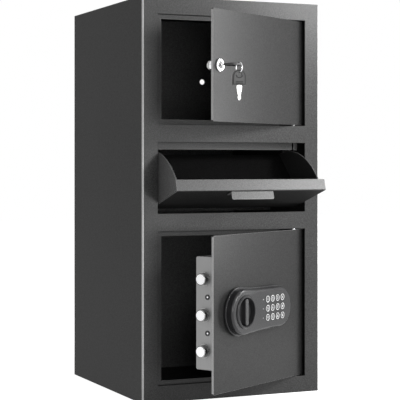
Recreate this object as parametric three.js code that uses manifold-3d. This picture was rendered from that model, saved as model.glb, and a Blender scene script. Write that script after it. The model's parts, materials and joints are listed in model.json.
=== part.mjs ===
// Deposit safe: a key-locked upper compartment, a tilting deposit hopper below it, and a lower
// compartment behind a keypad lock that throws three bolts. Millimetres, +Z up, front towards -Y,
// origin at the centre of the underside. A door's pieces are drawn as if the door were shut, and
// its group then swings them open about the hinge pin. The hopper is drawn shut in the same way.
import * as THREE from "three";
import { mergeVertices } from "three/addons/utils/BufferGeometryUtils.js";
import Module from "manifold-3d";

const wasm = await Module();
wasm.setup();

// Body
const WIDTH = 345;
const DEPTH = 360;
const HEIGHT = 700;
const SHEET = 2.5;
const EDGE_BEND = 4;
const FIT = 0.3; // gap between pieces that are fixed to or run on each other
const INNER_SHEET = 2;

// Openings in the front, from the floor up
const FRAME_SIDE = 29.25;
const SILL = 29;
const LOWER_OPENING = 265.5;
const RAIL = 31;
const HOPPER_OPENING = 123.5;
const TOP_RAIL = 30;

// Anchor holes
const ANCHOR_HOLE = 11;
const ANCHOR_SPREAD = 200;
const BACK_ANCHOR_RISE = 97.6; // above the sill of the upper opening
const FLOOR_ANCHOR_BACK = 60; // behind the middle of the floor

// Shelf under the upper compartment, and the baffle behind the hopper
const SHELF_DROP = 16; // from the sill of the upper opening down to the shelf
const BAFFLE_FOOT_DEPTH = 190;
const BAFFLE_FOOT_RISE = 4.5;
const BAFFLE_HEAD_RISE = 74.5;
const BAFFLE_FLANGE = 20;

// Doors
const DOOR_PLATE = 4;
const DOOR_GAP = 1.5;
const HINGE_GAP = 2;
const DOOR_CORNER = 2;
const UPPER_DOOR_OPEN = 30.59;
const LOWER_DOOR_OPEN = 30.76;

// Hinge pin, its knuckles on the door and its lugs in the body
const HINGE_INSET = 18.45; // from the edge of the opening
const HINGE_STANDOFF = 5; // behind the back of the door plate
const PIN = 7;
const PIN_PLAY = 0.3;
const KNUCKLE = 11;
const KNUCKLE_LENGTH = 40;
const KNUCKLE_FROM_END = 16;
const LUG_SHEET = 3;
const LUG_WIDTH = 18;
const LUG_GAP = 3; // from the opening to the lug
const LUG_FLANGE = 8;

// Stepped lip that a door shuts against
const LIP_REACH = 8; // into the opening
const LIP_BEHIND = 14; // behind the frame
const LIP_GAP = 0.8; // behind a shut door
const LIP_CUT_BACK = 49.75; // left open beside the hinge
const STRIKE_DEPTH = 52;
const STRIKE_MARGIN = 30; // above and below the outer bolts

// Deposit hopper
const HOPPER_TILT = 74;
const HOPPER_END_GAP = 1.35;
const HOPPER_TOP_GAP = 1.5;
const HOPPER_FOOT_GAP = 2.5;
const HOPPER_FLANGE = 20.2;
const HOPPER_PIVOT_DEPTH = 14.2;
const HOPPER_PIVOT_RISE = 27.8;
const HOPPER_REACH = 103; // how far back the cheeks go when shut
const HOPPER_REAR_RISE = -6; // of the cheeks' rear corner, from the sill of its opening
const CHEEK_ARC = 141.9;
const CHEEK_LOBE = 15;
const RIGHT_CHEEK_INSET = 13.4; // room for the stop stud's arm beside the right cheek
const REAR_PLATE_RISE = 53.7; // where the rear plate meets the front panel
const REAR_PLATE_FLANGE = 14;
const HOPPER_PIN = 8;
const HOPPER_COLLAR = 14;
const BRACKET_SHEET = 3;
const BRACKET_OFFSET = 3; // between the panel's end and the bracket
const BRACKET_EYE = 12;
const BRACKET_FLANGE = 14;
const STOP_STUD = 6;
const STOP_STUD_ANGLE = 78; // where on the cheek's arc it catches
const HANDLE_WIDTH = 80;
const HANDLE_REACH = 14.3;
const HANDLE_DROP = 3; // below the top of the panel
const HANDLE_FLANGE = 18;
const HANDLE_CORNER = 3;
const HOPPER_LIP_DROP = 12.5; // below the top of the hopper's opening
const HOPPER_LIP_GAP = 0.8; // behind the shut hopper's flange
const HOPPER_LIP_FLANGE = 18;
const HOPPER_LIP_HEM = 4;
const HOPPER_LIP_END = 4.8; // short of the opening's right edge
const CHEEK_SLOT_PLAY = 0.8;

// Key lock of the upper door
const LOCK_FROM_EDGE = 18.25; // in from the door's free edge
const LOCK_FACE = 22;
const LOCK_FACE_THICK = 3;
const LOCK_BARREL = 16.6;
const LOCK_LENGTH = 17; // behind the door's face
const LOCK_NUT = 24; // across its corners
const LOCK_NUT_THICK = 4;
const PLUG = 11.8;
const CAM_REACH = 29;
const CAM_WIDTH = 16;
const CAM_SHEET = 2;
const CAM_CRANK = 9; // how far the cam's tip steps towards the door
const CAM_SEAT = 14; // radius of the flat seat before the step
const TENON = 7;
const CAM_SCREW = 11;
const CAM_SCREW_HEAD = 2.4;
const CAM_SCREW_SHANK = 3.6;
const CAM_SCREW_LENGTH = 6;

// Keys
const KEY_OUT = 15.4; // from the door's face to the key's shoulder
const BLADE_LENGTH = 24.6;
const BLADE_WIDTH = 9;
const BLADE_THICK = 2.2;
// Down the blade: the share of its length, and the share of its half width there
const BLADE_OUTLINE = [
  [0, 1], [0.22, 1], [0.34, 0.84], [0.4, 0.88], [0.5, 0.66],
  [0.56, 0.7], [0.68, 0.5], [0.78, 0.62], [0.92, 0.54], [1, 0.2],
];
const TANG_LENGTH = 8;
const TANG_WIDTH = 5;
const HEAD_LENGTH = 25.4;
const HEAD_WIDTH = 22;
const HEAD_THICK = 3.4;
const HEAD_HOLE = 9;
const HEAD_HOLE_INSET = 7.3;
const RING_WIRE = 1.5;
const RING_RADIUS = 8.3;
const RING_TURN = 18; // about the vertical
const RING_INSET = 1.6; // ring centre from the end of the key's head
const SPARE_TURN = 40; // spare key's head turned about the vertical
const SPARE_SLACK = 0.9; // between the ring and the turned head

// Bolt work of the lower door
const BOLT = 20;
const BOLT_AXIS_DEPTH = 29.7; // behind the door plate
const BOLT_PITCH = 60.3;
const BOLT_DROP = 3; // below the middle of the door
const BOLT_OUT = 11.5; // past the box when drawn back
const BOLT_THROW = 20;
const BOLT_CHAMFER = 1.2;
const SWING_GAP = 0.9; // drawn-back bolts to the lip as the door swings
const BOX_WIDTH = 180;
const BOX_DEPTH = 46;
const BOX_HEIGHT = 189;
const BOX_SHEET = 2;
const BOX_CHAMFER = 2;
const BOLT_COLLAR = 2; // ring of metal round a bolt's hole
const BOLT_TAIL = 8;
const BAR_SHEET = 3;
const BAR_BEHIND_TIP = 37.5;
const BAR_FRONT = 20; // the bar's plate, behind the door plate
const BAR_DEPTH = 19;
const BAR_END = 8; // past the outer bolts
const CRANK_SHEET = 3;
const CRANK_PIN = 6;
const CRANK_SLOT_PLAY = 0.8;
const CRANK_SLOT_CORNER = 2;
const BAR_ARM_HEIGHT = 30;
const BAR_CORNER = 3;
const KNOB_TURN = 90;
const SOLENOID = [34, 22, 22]; // across, deep, tall
const SOLENOID_RISE = 44; // above the knob's axis
const SOLENOID_PLUNGER = 6;
const SOLENOID_PLUNGER_OUT = 8;
const SOLENOID_OFFSET = 14; // from the bar

// Battery holder, sunk in the back of the bolt box
const BATTERY_WIDTH = 66;
const BATTERY_HEIGHT = 62;
const BATTERY_DEPTH = 26;
const BATTERY_FROM_END = 12;
const BATTERY_DROP = 44; // below the middle of the box
const BATTERY_WALL = 2;
const BATTERY_LID = 2.5;
const BATTERY_RIM = 4;
const COVER_RIBS = 3;
const RIB_LENGTH = 20;
const RIB_WIDE = 1.5;
const RIB_PITCH = 4;
const RIB_DROP = 4.5; // of the first rib, below the top of the holder

// Keypad unit of the lower door
const KNOB_FROM_EDGE = 69.75;
const KEYPAD_RAISE = 0.75; // above the middle of the door
const LOBE_SPACING = 111.5;
const BASE_LOBE = 41.7;
const BASE_RIGHT_LOBE = 37.7;
const LOBE_ANGLE = 84; // where the hollow sides leave the left lobe
const RIGHT_LOBE_ANGLE = 91;
const BASE_THICK = 5;
const HOUSING_INSET = 2.9; // of the housing inside the base
const HOUSING_FACE = 18; // in front of the door
const HOUSING_WALL = 2.5;
const HOUSING_ROUND = 4;
const KNOB_WELL = 49;
const RING_OUTSIDE = 57;
const RING_THICK = 2.6;
const KNOB_DISC = 48;
const KNOB_SINK = 6; // disc's face below the housing's face
const KNOB_DISC_THICK = 4;
const GRIP_WIDTH = 9.5;
const GRIP_HEIGHT = 9;
const GRIP_ROUND = 1.6;
const SPINDLE = 9.4;
const KEY_PITCH = 15.8;
const KEY_COLUMNS = 4;
const KEY_ROWS = 3;
const FIRST_COLUMN = 67.2; // from the knob's axis
const KEYS_RAISE = 0.9; // above it
const KEY_CAP = 11.4;
const KEY_PROUD = 0.7;
const KEY_SKIRT = 1;
const KEY_SKIRT_WIDE = 1; // wider than the cap, each side
const KEY_TRAVEL = 1.2;
const BOARD_THICK = 1.6;
const BOARD_GAP = 2.4; // keys to the board
const BOARD_POST = 5;

// Fineness of round shapes
const ROUND = 24;
const FINE_ROUND = 16;
const RIM_ROUND = 36;
const ARC_STEPS = 10;
const BEVEL_STEPS = 2;

const FRONT = -DEPTH / 2;
const BACK = DEPTH / 2;
const degrees = THREE.MathUtils.degToRad;

const opening = { left: FRAME_SIDE - WIDTH / 2, right: WIDTH / 2 - FRAME_SIDE };
const lower = { bottom: SILL, top: SILL + LOWER_OPENING };
const hopper = { bottom: lower.top + RAIL, top: lower.top + RAIL + HOPPER_OPENING };
const upper = { bottom: hopper.top + RAIL, top: HEIGHT - TOP_RAIL };
const doorLeft = opening.left + DOOR_GAP;
const doorRight = opening.right - HINGE_GAP;
const doorBack = FRONT + DOOR_PLATE;
const hinge = { x: opening.right - HINGE_INSET, y: doorBack + HINGE_STANDOFF };
const lipFront = doorBack + LIP_GAP;
const shelfTop = upper.bottom - SHELF_DROP;
const shelfUnder = shelfTop - INNER_SHEET;

// The geometry with shared vertices, no collapsed triangles, and its faces turned outwards.
function welded(source) {
  const bare = source.clone();
  bare.deleteAttribute("normal");
  bare.deleteAttribute("uv");
  const merged = mergeVertices(bare, 1e-4);
  const { position } = merged.attributes;
  const all = [...merged.index.array];
  const index = [];
  for (let i = 0; i < all.length; i += 3) {
    const [a, b, c] = all.slice(i, i + 3);
    if (a !== b && b !== c && c !== a) index.push(a, b, c);
  }
  const corner = (i) => new THREE.Vector3().fromBufferAttribute(position, index[i]);
  let volume = 0;
  for (let i = 0; i < index.length; i += 3) {
    volume += corner(i).dot(corner(i + 1).cross(corner(i + 2)));
  }
  if (volume < 0) index.reverse();
  merged.setIndex(index);
  return merged;
}

// A closed geometry as a solid that can be joined or cut.
function solidOf(source) {
  const merged = welded(source);
  return new wasm.Manifold(
    new wasm.Mesh({
      numProp: 3,
      vertProperties: new Float32Array(merged.attributes.position.array),
      triVerts: new Uint32Array(merged.index.array),
    }),
  );
}

// A solid back as a geometry.
function geometryOf(made) {
  const mesh = made.getMesh();
  const geometry = new THREE.BufferGeometry();
  geometry.setAttribute("position", new THREE.BufferAttribute(new Float32Array(mesh.vertProperties), 3));
  geometry.setIndex(new THREE.BufferAttribute(new Uint32Array(mesh.triVerts), 1));
  return geometry;
}

function join(...pieces) {
  return geometryOf(pieces.map(solidOf).reduce((a, b) => a.add(b)));
}

function cut(body, ...tools) {
  return geometryOf(tools.map(solidOf).reduce((a, b) => a.subtract(b), solidOf(body)));
}

function box(x0, x1, y0, y1, z0, z1) {
  const made = new THREE.BoxGeometry(x1 - x0, y1 - y0, z1 - z0);
  return made.translate((x0 + x1) / 2, (y0 + y1) / 2, (z0 + z1) / 2);
}

// A round bar along an axis. The last two places are its centre on the other two axes.
function rod(axis, diameter, from, to, a, b, sides = ROUND) {
  const made = new THREE.CylinderGeometry(diameter / 2, diameter / 2, to - from, sides);
  const middle = (from + to) / 2;
  if (axis === "x") return made.rotateZ(-Math.PI / 2).translate(middle, a, b);
  if (axis === "z") return made.rotateX(Math.PI / 2).translate(a, b, middle);
  return made.translate(a, middle, b);
}

// A profile of [radius, y] points turned about the line along Y through x and z.
function turned(profile, x, z, sides = ROUND) {
  const points = profile.map(([radius, y]) => new THREE.Vector2(radius, y));
  return new THREE.LatheGeometry(points, sides).translate(x, 0, z);
}

// A flat outline given thickness along an axis: drawn in (y, z) for x, (x, z) for y, (x, y) for z.
function plate(axis, outline, from, to, steps = ARC_STEPS, bevel = 0) {
  const made = new THREE.ExtrudeGeometry(outline, {
    depth: to - from - 2 * bevel,
    curveSegments: steps,
    bevelEnabled: bevel > 0,
    bevelThickness: bevel,
    bevelSize: bevel,
    bevelOffset: -bevel,
    bevelSegments: BEVEL_STEPS,
  });
  made.translate(0, 0, bevel);
  if (axis === "y") return made.rotateX(Math.PI / 2).translate(0, to, 0);
  if (axis === "z") return made.translate(0, 0, from);
  const turn = new THREE.Matrix4().makeBasis(
    new THREE.Vector3(0, 1, 0),
    new THREE.Vector3(0, 0, 1),
    new THREE.Vector3(1, 0, 0),
  );
  return made.applyMatrix4(turn).translate(from, 0, 0);
}

function polygon(points) {
  return new THREE.Shape(points.map(([a, b]) => new THREE.Vector2(a, b)));
}

function rounded(a0, a1, b0, b1, radius) {
  const outline = new THREE.Shape();
  outline.absarc(a1 - radius, b0 + radius, radius, -Math.PI / 2, 0);
  outline.absarc(a1 - radius, b1 - radius, radius, 0, Math.PI / 2);
  outline.absarc(a0 + radius, b1 - radius, radius, Math.PI / 2, Math.PI);
  outline.absarc(a0 + radius, b0 + radius, radius, Math.PI, 1.5 * Math.PI);
  return outline;
}

function hole(outline, a, b, diameter) {
  outline.holes.push(new THREE.Path().absarc(a, b, diameter / 2, 0, 2 * Math.PI, true));
  return outline;
}

const FINISHES = {
  body: { color: 0x4a4a4a, roughness: 0.62, metalness: 0.1 },
  inner: { color: 0x3c3c3c, roughness: 0.65, metalness: 0.1 },
  chrome: { color: 0xd8d8d8, roughness: 0.12, metalness: 1 },
  zinc: { color: 0xa8a8a6, roughness: 0.35, metalness: 0.9 },
  plastic: { color: 0x3a3a3c, roughness: 0.42, metalness: 0 },
  softPlastic: { color: 0x17171a, roughness: 0.5, metalness: 0 },
  board: { color: 0x1f4a33, roughness: 0.55, metalness: 0 },
};

const safe = new THREE.Group();
const upperDoor = swingGroup(UPPER_DOOR_OPEN);
const lowerDoor = swingGroup(LOWER_DOOR_OPEN);
const hopperPivot = { y: FRONT + HOPPER_PIVOT_DEPTH, z: hopper.bottom + HOPPER_PIVOT_RISE };
const hopperGroup = tiltGroup(HOPPER_TILT);

// A group whose contents are drawn with the door shut, swung open about the hinge pin.
function swingGroup(open) {
  const outer = new THREE.Group();
  const inner = new THREE.Group();
  outer.position.set(hinge.x, hinge.y, 0);
  outer.rotation.z = degrees(open);
  inner.position.set(-hinge.x, -hinge.y, 0);
  outer.add(inner);
  safe.add(outer);
  return inner;
}

// A group whose contents are drawn with the hopper shut, tilted open about its pins.
function tiltGroup(open) {
  const outer = new THREE.Group();
  const inner = new THREE.Group();
  outer.position.set(0, hopperPivot.y, hopperPivot.z);
  outer.rotation.x = degrees(open);
  inner.position.set(0, -hopperPivot.y, -hopperPivot.z);
  outer.add(inner);
  safe.add(outer);
  return inner;
}

function add(group, name, finish, geometry) {
  const mesh = new THREE.Mesh(welded(geometry), new THREE.MeshStandardMaterial(FINISHES[finish]));
  mesh.name = name;
  group.add(mesh);
  return mesh;
}

// Sides and front in one sheet, bent at the two front edges, with the three openings cut out.
function cabinetWrap() {
  const half = WIDTH / 2;
  const bend = EDGE_BEND - SHEET;
  const plan = new THREE.Shape();
  plan.moveTo(-half, BACK);
  plan.lineTo(-half, FRONT + EDGE_BEND);
  plan.absarc(EDGE_BEND - half, FRONT + EDGE_BEND, EDGE_BEND, Math.PI, 1.5 * Math.PI);
  plan.absarc(half - EDGE_BEND, FRONT + EDGE_BEND, EDGE_BEND, 1.5 * Math.PI, 2 * Math.PI);
  plan.lineTo(half, BACK);
  plan.lineTo(half - SHEET, BACK);
  plan.absarc(half - EDGE_BEND, FRONT + EDGE_BEND, bend, 2 * Math.PI, 1.5 * Math.PI, true);
  plan.absarc(EDGE_BEND - half, FRONT + EDGE_BEND, bend, 1.5 * Math.PI, Math.PI, true);
  plan.lineTo(SHEET - half, BACK);
  const windows = [lower, hopper, upper].map(({ bottom, top }) =>
    box(opening.left, opening.right, FRONT - SHEET, FRONT + 2 * SHEET, bottom, top),
  );
  return cut(plate("z", plan, 0, HEIGHT, 6), ...windows);
}

// The top or the floor of the body, between the sides, with any anchor holes.
function endPanel(from, anchored) {
  const half = WIDTH / 2 - SHEET;
  const corner = EDGE_BEND - SHEET + 2 * FIT;
  const plan = new THREE.Shape();
  plan.moveTo(-half, BACK - SHEET);
  plan.lineTo(-half, FRONT + SHEET + corner);
  plan.absarc(corner - half, FRONT + SHEET + corner, corner, Math.PI, 1.5 * Math.PI);
  plan.absarc(half - corner, FRONT + SHEET + corner, corner, 1.5 * Math.PI, 2 * Math.PI);
  plan.lineTo(half, BACK - SHEET);
  if (anchored) {
    hole(plan, -ANCHOR_SPREAD / 2, FLOOR_ANCHOR_BACK, ANCHOR_HOLE);
    hole(plan, ANCHOR_SPREAD / 2, FLOOR_ANCHOR_BACK, ANCHOR_HOLE);
  }
  return plate("z", plan, from, from + SHEET, 6);
}

function backPanel() {
  const half = WIDTH / 2 - SHEET;
  const outline = polygon([[-half, 0], [half, 0], [half, HEIGHT], [-half, HEIGHT]]);
  const height = upper.bottom + BACK_ANCHOR_RISE;
  hole(outline, -ANCHOR_SPREAD / 2, height, ANCHOR_HOLE);
  hole(outline, ANCHOR_SPREAD / 2, height, ANCHOR_HOLE);
  return plate("y", outline, BACK - SHEET, BACK, 6);
}

function upperShelf() {
  const half = WIDTH / 2 - SHEET;
  return box(-half, half, FRONT + EDGE_BEND, BACK - SHEET, shelfUnder, shelfTop);
}

// Sloping plate behind the hopper: a flange on the back panel, the slope, and a turned-down foot.
function dropBaffle() {
  const half = WIDTH / 2 - SHEET;
  const wall = BACK - SHEET;
  const foot = FRONT + BAFFLE_FOOT_DEPTH;
  const low = hopper.bottom + BAFFLE_FOOT_RISE;
  const high = hopper.bottom + BAFFLE_HEAD_RISE;
  const t = INNER_SHEET;
  const section = polygon([
    [wall, high],
    [wall, high + BAFFLE_FLANGE],
    [wall - t, high + BAFFLE_FLANGE],
    [wall - t, high + t / 2],
    [foot, low + t],
    [foot, low - t * 4],
    [foot + t, low - t * 4],
    [foot + t, low],
  ]);
  return plate("x", section, -half, half);
}

// A section of [distance into the opening, y] points swept along the bottom, up the free side
// and back along the top of a door's opening, with mitred corners.
function lipSweep(section, { bottom, top }) {
  const end = opening.right - LIP_CUT_BACK;
  const rings = [
    (d) => [end, bottom + d],
    (d) => [opening.left + d, bottom + d],
    (d) => [opening.left + d, top - d],
    (d) => [end, top - d],
  ];
  const n = section.length;
  const vertices = rings.flatMap((place) =>
    section.flatMap(([d, y]) => {
      const [x, z] = place(d);
      return [x, y, z];
    }),
  );
  const index = [];
  for (let r = 0; r + 1 < rings.length; r++) {
    for (let i = 0; i < n; i++) {
      const [a, b] = [r * n + i, r * n + ((i + 1) % n)];
      index.push(a, b, a + n, b, b + n, a + n);
    }
  }
  const face = THREE.ShapeUtils.triangulateShape(polygon(section).getPoints(), []);
  const last = (rings.length - 1) * n;
  for (const [a, b, c] of face) {
    index.push(a, c, b, last + a, last + b, last + c);
  }
  const geometry = new THREE.BufferGeometry();
  geometry.setAttribute("position", new THREE.Float32BufferAttribute(vertices, 3));
  geometry.setIndex(index);
  return geometry;
}

function stopFrame(place) {
  const t = INNER_SHEET;
  const behind = FRONT + SHEET;
  const step = Math.max(lipFront - behind, t / 2);
  const front = behind + step;
  const section = [
    [-LIP_BEHIND, behind],
    [-1 - step, behind],
    [-1, front],
    [LIP_REACH, front],
    [LIP_REACH, front + t],
    [-1 - t / 2, front + t],
    [-1 - t / 2 - step, behind + t],
    [-LIP_BEHIND, behind + t],
  ];
  return lipSweep(section, place);
}

const lipInner = opening.left + LIP_REACH;
const lowerMiddle = (lower.bottom + lower.top) / 2;
const boltZ = [1, 0, -1].map((step) => lowerMiddle - BOLT_DROP + step * BOLT_PITCH);
const boltY = doorBack + BOLT_AXIS_DEPTH;
const boltBack = boltY + BOLT / 2;

// The bolts' tips clear the lip by the swing gap as the shut door begins to open.
const tipSwing = hinge.x - lipInner - SWING_GAP;
const boltTip = hinge.x - Math.sqrt(tipSwing ** 2 - (boltBack - hinge.y) ** 2);

// The lower lip also has a flange going back, with a hole for each bolt.
function lowerStopFrame() {
  const outline = polygon([
    [lipFront + INNER_SHEET / 2, boltZ[2] - STRIKE_MARGIN],
    [FRONT + STRIKE_DEPTH, boltZ[2] - STRIKE_MARGIN],
    [FRONT + STRIKE_DEPTH, boltZ[0] + STRIKE_MARGIN],
    [lipFront + INNER_SHEET / 2, boltZ[0] + STRIKE_MARGIN],
  ]);
  boltZ.forEach((z) => hole(outline, boltY, z, BOLT + 2));
  return join(stopFrame(lower), plate("x", outline, lipInner - INNER_SHEET, lipInner, FINE_ROUND));
}

// A lug behind the frame with a bore for the hinge pin, and a flange away from the opening.
function hingeLug(edge, away) {
  const behind = FRONT + SHEET;
  const half = LUG_WIDTH / 2;
  const plan = new THREE.Shape();
  plan.moveTo(hinge.x - half, behind);
  plan.lineTo(hinge.x + half, behind);
  plan.absarc(hinge.x, Math.max(hinge.y, behind), half, 0, Math.PI);
  hole(plan, hinge.x, hinge.y, PIN + 2 * PIN_PLAY);
  const near = edge + away * LUG_GAP;
  const far = near + away * LUG_SHEET;
  const tip = far + away * LUG_FLANGE;
  const [z0, z1] = [Math.min(near, far), Math.max(near, far)];
  const [f0, f1] = [Math.min(near, tip), Math.max(near, tip)];
  const flange = box(hinge.x - half, hinge.x + half, behind, behind + INNER_SHEET / 2 + 0.5, f0, f1);
  return join(plate("z", plan, z0, z1, ARC_STEPS), flange);
}

// Hopper, drawn shut
const panelLeft = opening.left + HOPPER_END_GAP;
const panelRight = opening.right - HOPPER_END_GAP;
const panelTop = hopper.top - HOPPER_TOP_GAP;
const panelFoot = hopper.bottom + HOPPER_FOOT_GAP;
const panelInner = FRONT + INNER_SHEET;
const leftCheek = { from: panelLeft + FIT, to: panelLeft + FIT + INNER_SHEET };
const rightCheek = {
  from: panelRight - RIGHT_CHEEK_INSET,
  to: panelRight - RIGHT_CHEEK_INSET + INNER_SHEET,
};

// The arc of the cheeks' upper edge, from just behind the flange to the rear corner.
const cheekArc = (() => {
  const start = new THREE.Vector2(FRONT + HOPPER_FLANGE + 2 * FIT, panelTop - FIT);
  const end = new THREE.Vector2(FRONT + HOPPER_REACH, hopper.bottom + HOPPER_REAR_RISE);
  const chord = end.clone().sub(start);
  const middle = start.clone().add(end).multiplyScalar(0.5);
  const height = Math.sqrt(CHEEK_ARC ** 2 - (chord.length() / 2) ** 2);
  const inward = new THREE.Vector2(chord.y, -chord.x).normalize();
  const centre = middle.addScaledVector(inward, height);
  const angle = (point) => Math.atan2(point.y - centre.y, point.x - centre.x);
  return { start, end, centre, from: angle(end), to: angle(start) };
})();

// Where the stop studs stand: on the tilted cheek's arc, a running gap clear of it.
const stopStud = (() => {
  const arm = new THREE.Vector2(cheekArc.centre.x - hopperPivot.y, cheekArc.centre.y - hopperPivot.z);
  arm.rotateAround(new THREE.Vector2(0, 0), degrees(HOPPER_TILT));
  const reach = CHEEK_ARC + STOP_STUD / 2 + FIT;
  return {
    y: hopperPivot.y + arm.x + reach * Math.cos(degrees(STOP_STUD_ANGLE)),
    z: hopperPivot.z + arm.y + reach * Math.sin(degrees(STOP_STUD_ANGLE)),
  };
})();

// Front panel with its top edge folded back.
function hopperFrontPanel() {
  const t = INNER_SHEET;
  const section = new THREE.Shape();
  section.moveTo(FRONT, panelFoot);
  section.lineTo(panelInner, panelFoot);
  section.lineTo(panelInner, panelTop - t);
  section.lineTo(FRONT + HOPPER_FLANGE, panelTop - t);
  section.lineTo(FRONT + HOPPER_FLANGE, panelTop);
  section.absarc(FRONT + t, panelTop - t, t, Math.PI / 2, Math.PI);
  return plate("x", section, panelLeft, panelRight, 5);
}

const cheekFront = panelInner + FIT;
const cheekFoot = hopperPivot.z - CHEEK_LOBE;

// A side cheek with its pivot pin and the collar that spaces it from the bracket.
function hopperCheek(cheek, outer, bracketNear) {
  const outline = new THREE.Shape();
  const under = panelTop - INNER_SHEET - FIT;
  outline.moveTo(cheekFront, cheekFoot);
  outline.lineTo(hopperPivot.y, cheekFoot);
  outline.absarc(hopperPivot.y, hopperPivot.z, CHEEK_LOBE, -Math.PI / 2, -Math.PI / 4);
  outline.lineTo(cheekArc.end.x - INNER_SHEET, cheekArc.end.y - 2 * INNER_SHEET);
  outline.absarc(cheekArc.centre.x, cheekArc.centre.y, CHEEK_ARC, cheekArc.from, cheekArc.to);
  outline.lineTo(cheekArc.start.x, under);
  outline.lineTo(cheekFront, under);
  const sheet = plate("x", outline, cheek.from, cheek.to);
  const away = Math.sign(outer - (cheek.from + cheek.to) / 2);
  const face = away < 0 ? cheek.from : cheek.to;
  const inside = face - away * INNER_SHEET / 2;
  const collarEnd = bracketNear - away * FIT;
  const pinEnd = bracketNear + away * BRACKET_SHEET;
  const pin = rod("x", HOPPER_PIN, Math.min(inside, pinEnd), Math.max(inside, pinEnd),
    hopperPivot.y, hopperPivot.z, FINE_ROUND);
  const collar = rod("x", HOPPER_COLLAR, Math.min(inside, collarEnd), Math.max(inside, collarEnd),
    hopperPivot.y, hopperPivot.z, FINE_ROUND);
  return join(sheet, pin, collar);
}

// Plate from the front panel down to the cheeks' rear corners: the back of the deposit trough.
function hopperRearPlate() {
  const t = INNER_SHEET;
  const head = new THREE.Vector2(cheekFront, hopper.bottom + REAR_PLATE_RISE);
  const end = new THREE.Vector2(cheekArc.end.x - t, cheekArc.end.y);
  const along = end.clone().sub(head).normalize();
  const below = new THREE.Vector2(along.y, -along.x).multiplyScalar(t);
  const drop = t / Math.max(along.x, 0.2);
  const section = polygon([
    [head.x, head.y],
    [head.x, head.y - REAR_PLATE_FLANGE],
    [head.x + t, head.y - REAR_PLATE_FLANGE],
    [head.x + t, head.y - drop + (t * along.y) / along.x],
    [end.x + below.x, end.y + below.y],
    [end.x, end.y],
  ]);
  return plate("x", section, leftCheek.to + FIT, rightCheek.from - FIT);
}

// Pull tab across the middle of the panel, just below its top edge.
function hopperHandle() {
  const t = INNER_SHEET;
  const top = panelTop - HANDLE_DROP;
  const seat = FRONT - FIT;
  const half = HANDLE_WIDTH / 2;
  const tab = rounded(-half, half, FRONT - HANDLE_REACH, seat + HANDLE_CORNER, HANDLE_CORNER);
  const flange = rounded(-half, half, top - HANDLE_FLANGE, top, HANDLE_CORNER / 2);
  const trimmed = cut(plate("z", tab, top - t, top, 4), box(-WIDTH, WIDTH, seat, 0, top - 2 * t, top + t));
  return join(trimmed, plate("y", flange, seat - t, seat, 3));
}

// Pivot plate beside the hopper: a flange on the back of the frame, the eye and a stop stud.
function hopperBracket(near, away, cheek) {
  const behind = FRONT + SHEET;
  const far = near + away * BRACKET_SHEET;
  const [x0, x1] = [Math.min(near, far), Math.max(near, far)];
  const outline = new THREE.Shape();
  const edge = stopStud.z + STOP_STUD * 1.2;
  outline.moveTo(behind, hopperPivot.z - BRACKET_EYE);
  outline.lineTo(hopperPivot.y, hopperPivot.z - BRACKET_EYE);
  outline.absarc(hopperPivot.y, hopperPivot.z, BRACKET_EYE, -Math.PI / 2, -Math.PI / 6);
  outline.lineTo(stopStud.y + STOP_STUD * 1.2, stopStud.z - STOP_STUD);
  outline.lineTo(stopStud.y + STOP_STUD * 1.2, edge);
  outline.lineTo(stopStud.y - STOP_STUD * 1.2, edge);
  outline.lineTo(behind, hopperPivot.z + BRACKET_EYE * 3);
  hole(outline, hopperPivot.y, hopperPivot.z, HOPPER_PIN + 2 * PIN_PLAY);
  const flangeEnd = far + away * BRACKET_FLANGE;
  const flange = box(
    Math.min(near, flangeEnd), Math.max(near, flangeEnd),
    behind, behind + INNER_SHEET,
    hopperPivot.z - BRACKET_EYE, hopperPivot.z + BRACKET_EYE * 3,
  );
  const studEnd = away < 0 ? cheek.to : cheek.from;
  const stud = rod("x", STOP_STUD, Math.min(far, studEnd), Math.max(far, studEnd),
    stopStud.y, stopStud.z, FINE_ROUND);
  return join(plate("x", outline, x0, x1), flange, stud);
}

// Plate hung from the shelf that closes the gap behind the shut hopper's flange, slotted for a cheek.
function hopperStopLip() {
  const t = INNER_SHEET;
  const face = FRONT + HOPPER_FLANGE + HOPPER_LIP_GAP;
  const foot = hopper.top - HOPPER_LIP_DROP;
  const section = polygon([
    [face, foot],
    [face + t + HOPPER_LIP_HEM, foot],
    [face + t + HOPPER_LIP_HEM, foot + t],
    [face + t, foot + t],
    [face + t, shelfUnder - t],
    [face + HOPPER_LIP_FLANGE, shelfUnder - t],
    [face + HOPPER_LIP_FLANGE, shelfUnder],
    [face, shelfUnder],
  ]);
  const slotTop = hopper.top + CHEEK_SLOT_PLAY;
  const slot = box(
    rightCheek.from - CHEEK_SLOT_PLAY, rightCheek.to + CHEEK_SLOT_PLAY,
    face - t, face + 2 * t + HOPPER_LIP_HEM, foot - t, slotTop,
  );
  const from = leftCheek.to + CHEEK_SLOT_PLAY;
  return cut(plate("x", section, from, opening.right - HOPPER_LIP_END), slot);
}

// Doors
function doorPanel({ bottom, top }, holes) {
  const outline = rounded(doorLeft, doorRight, bottom + DOOR_GAP, top - DOOR_GAP, DOOR_CORNER);
  holes.forEach(([x, z, diameter]) => hole(outline, x, z, diameter));
  return plate("y", outline, FRONT, doorBack, 6);
}

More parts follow.
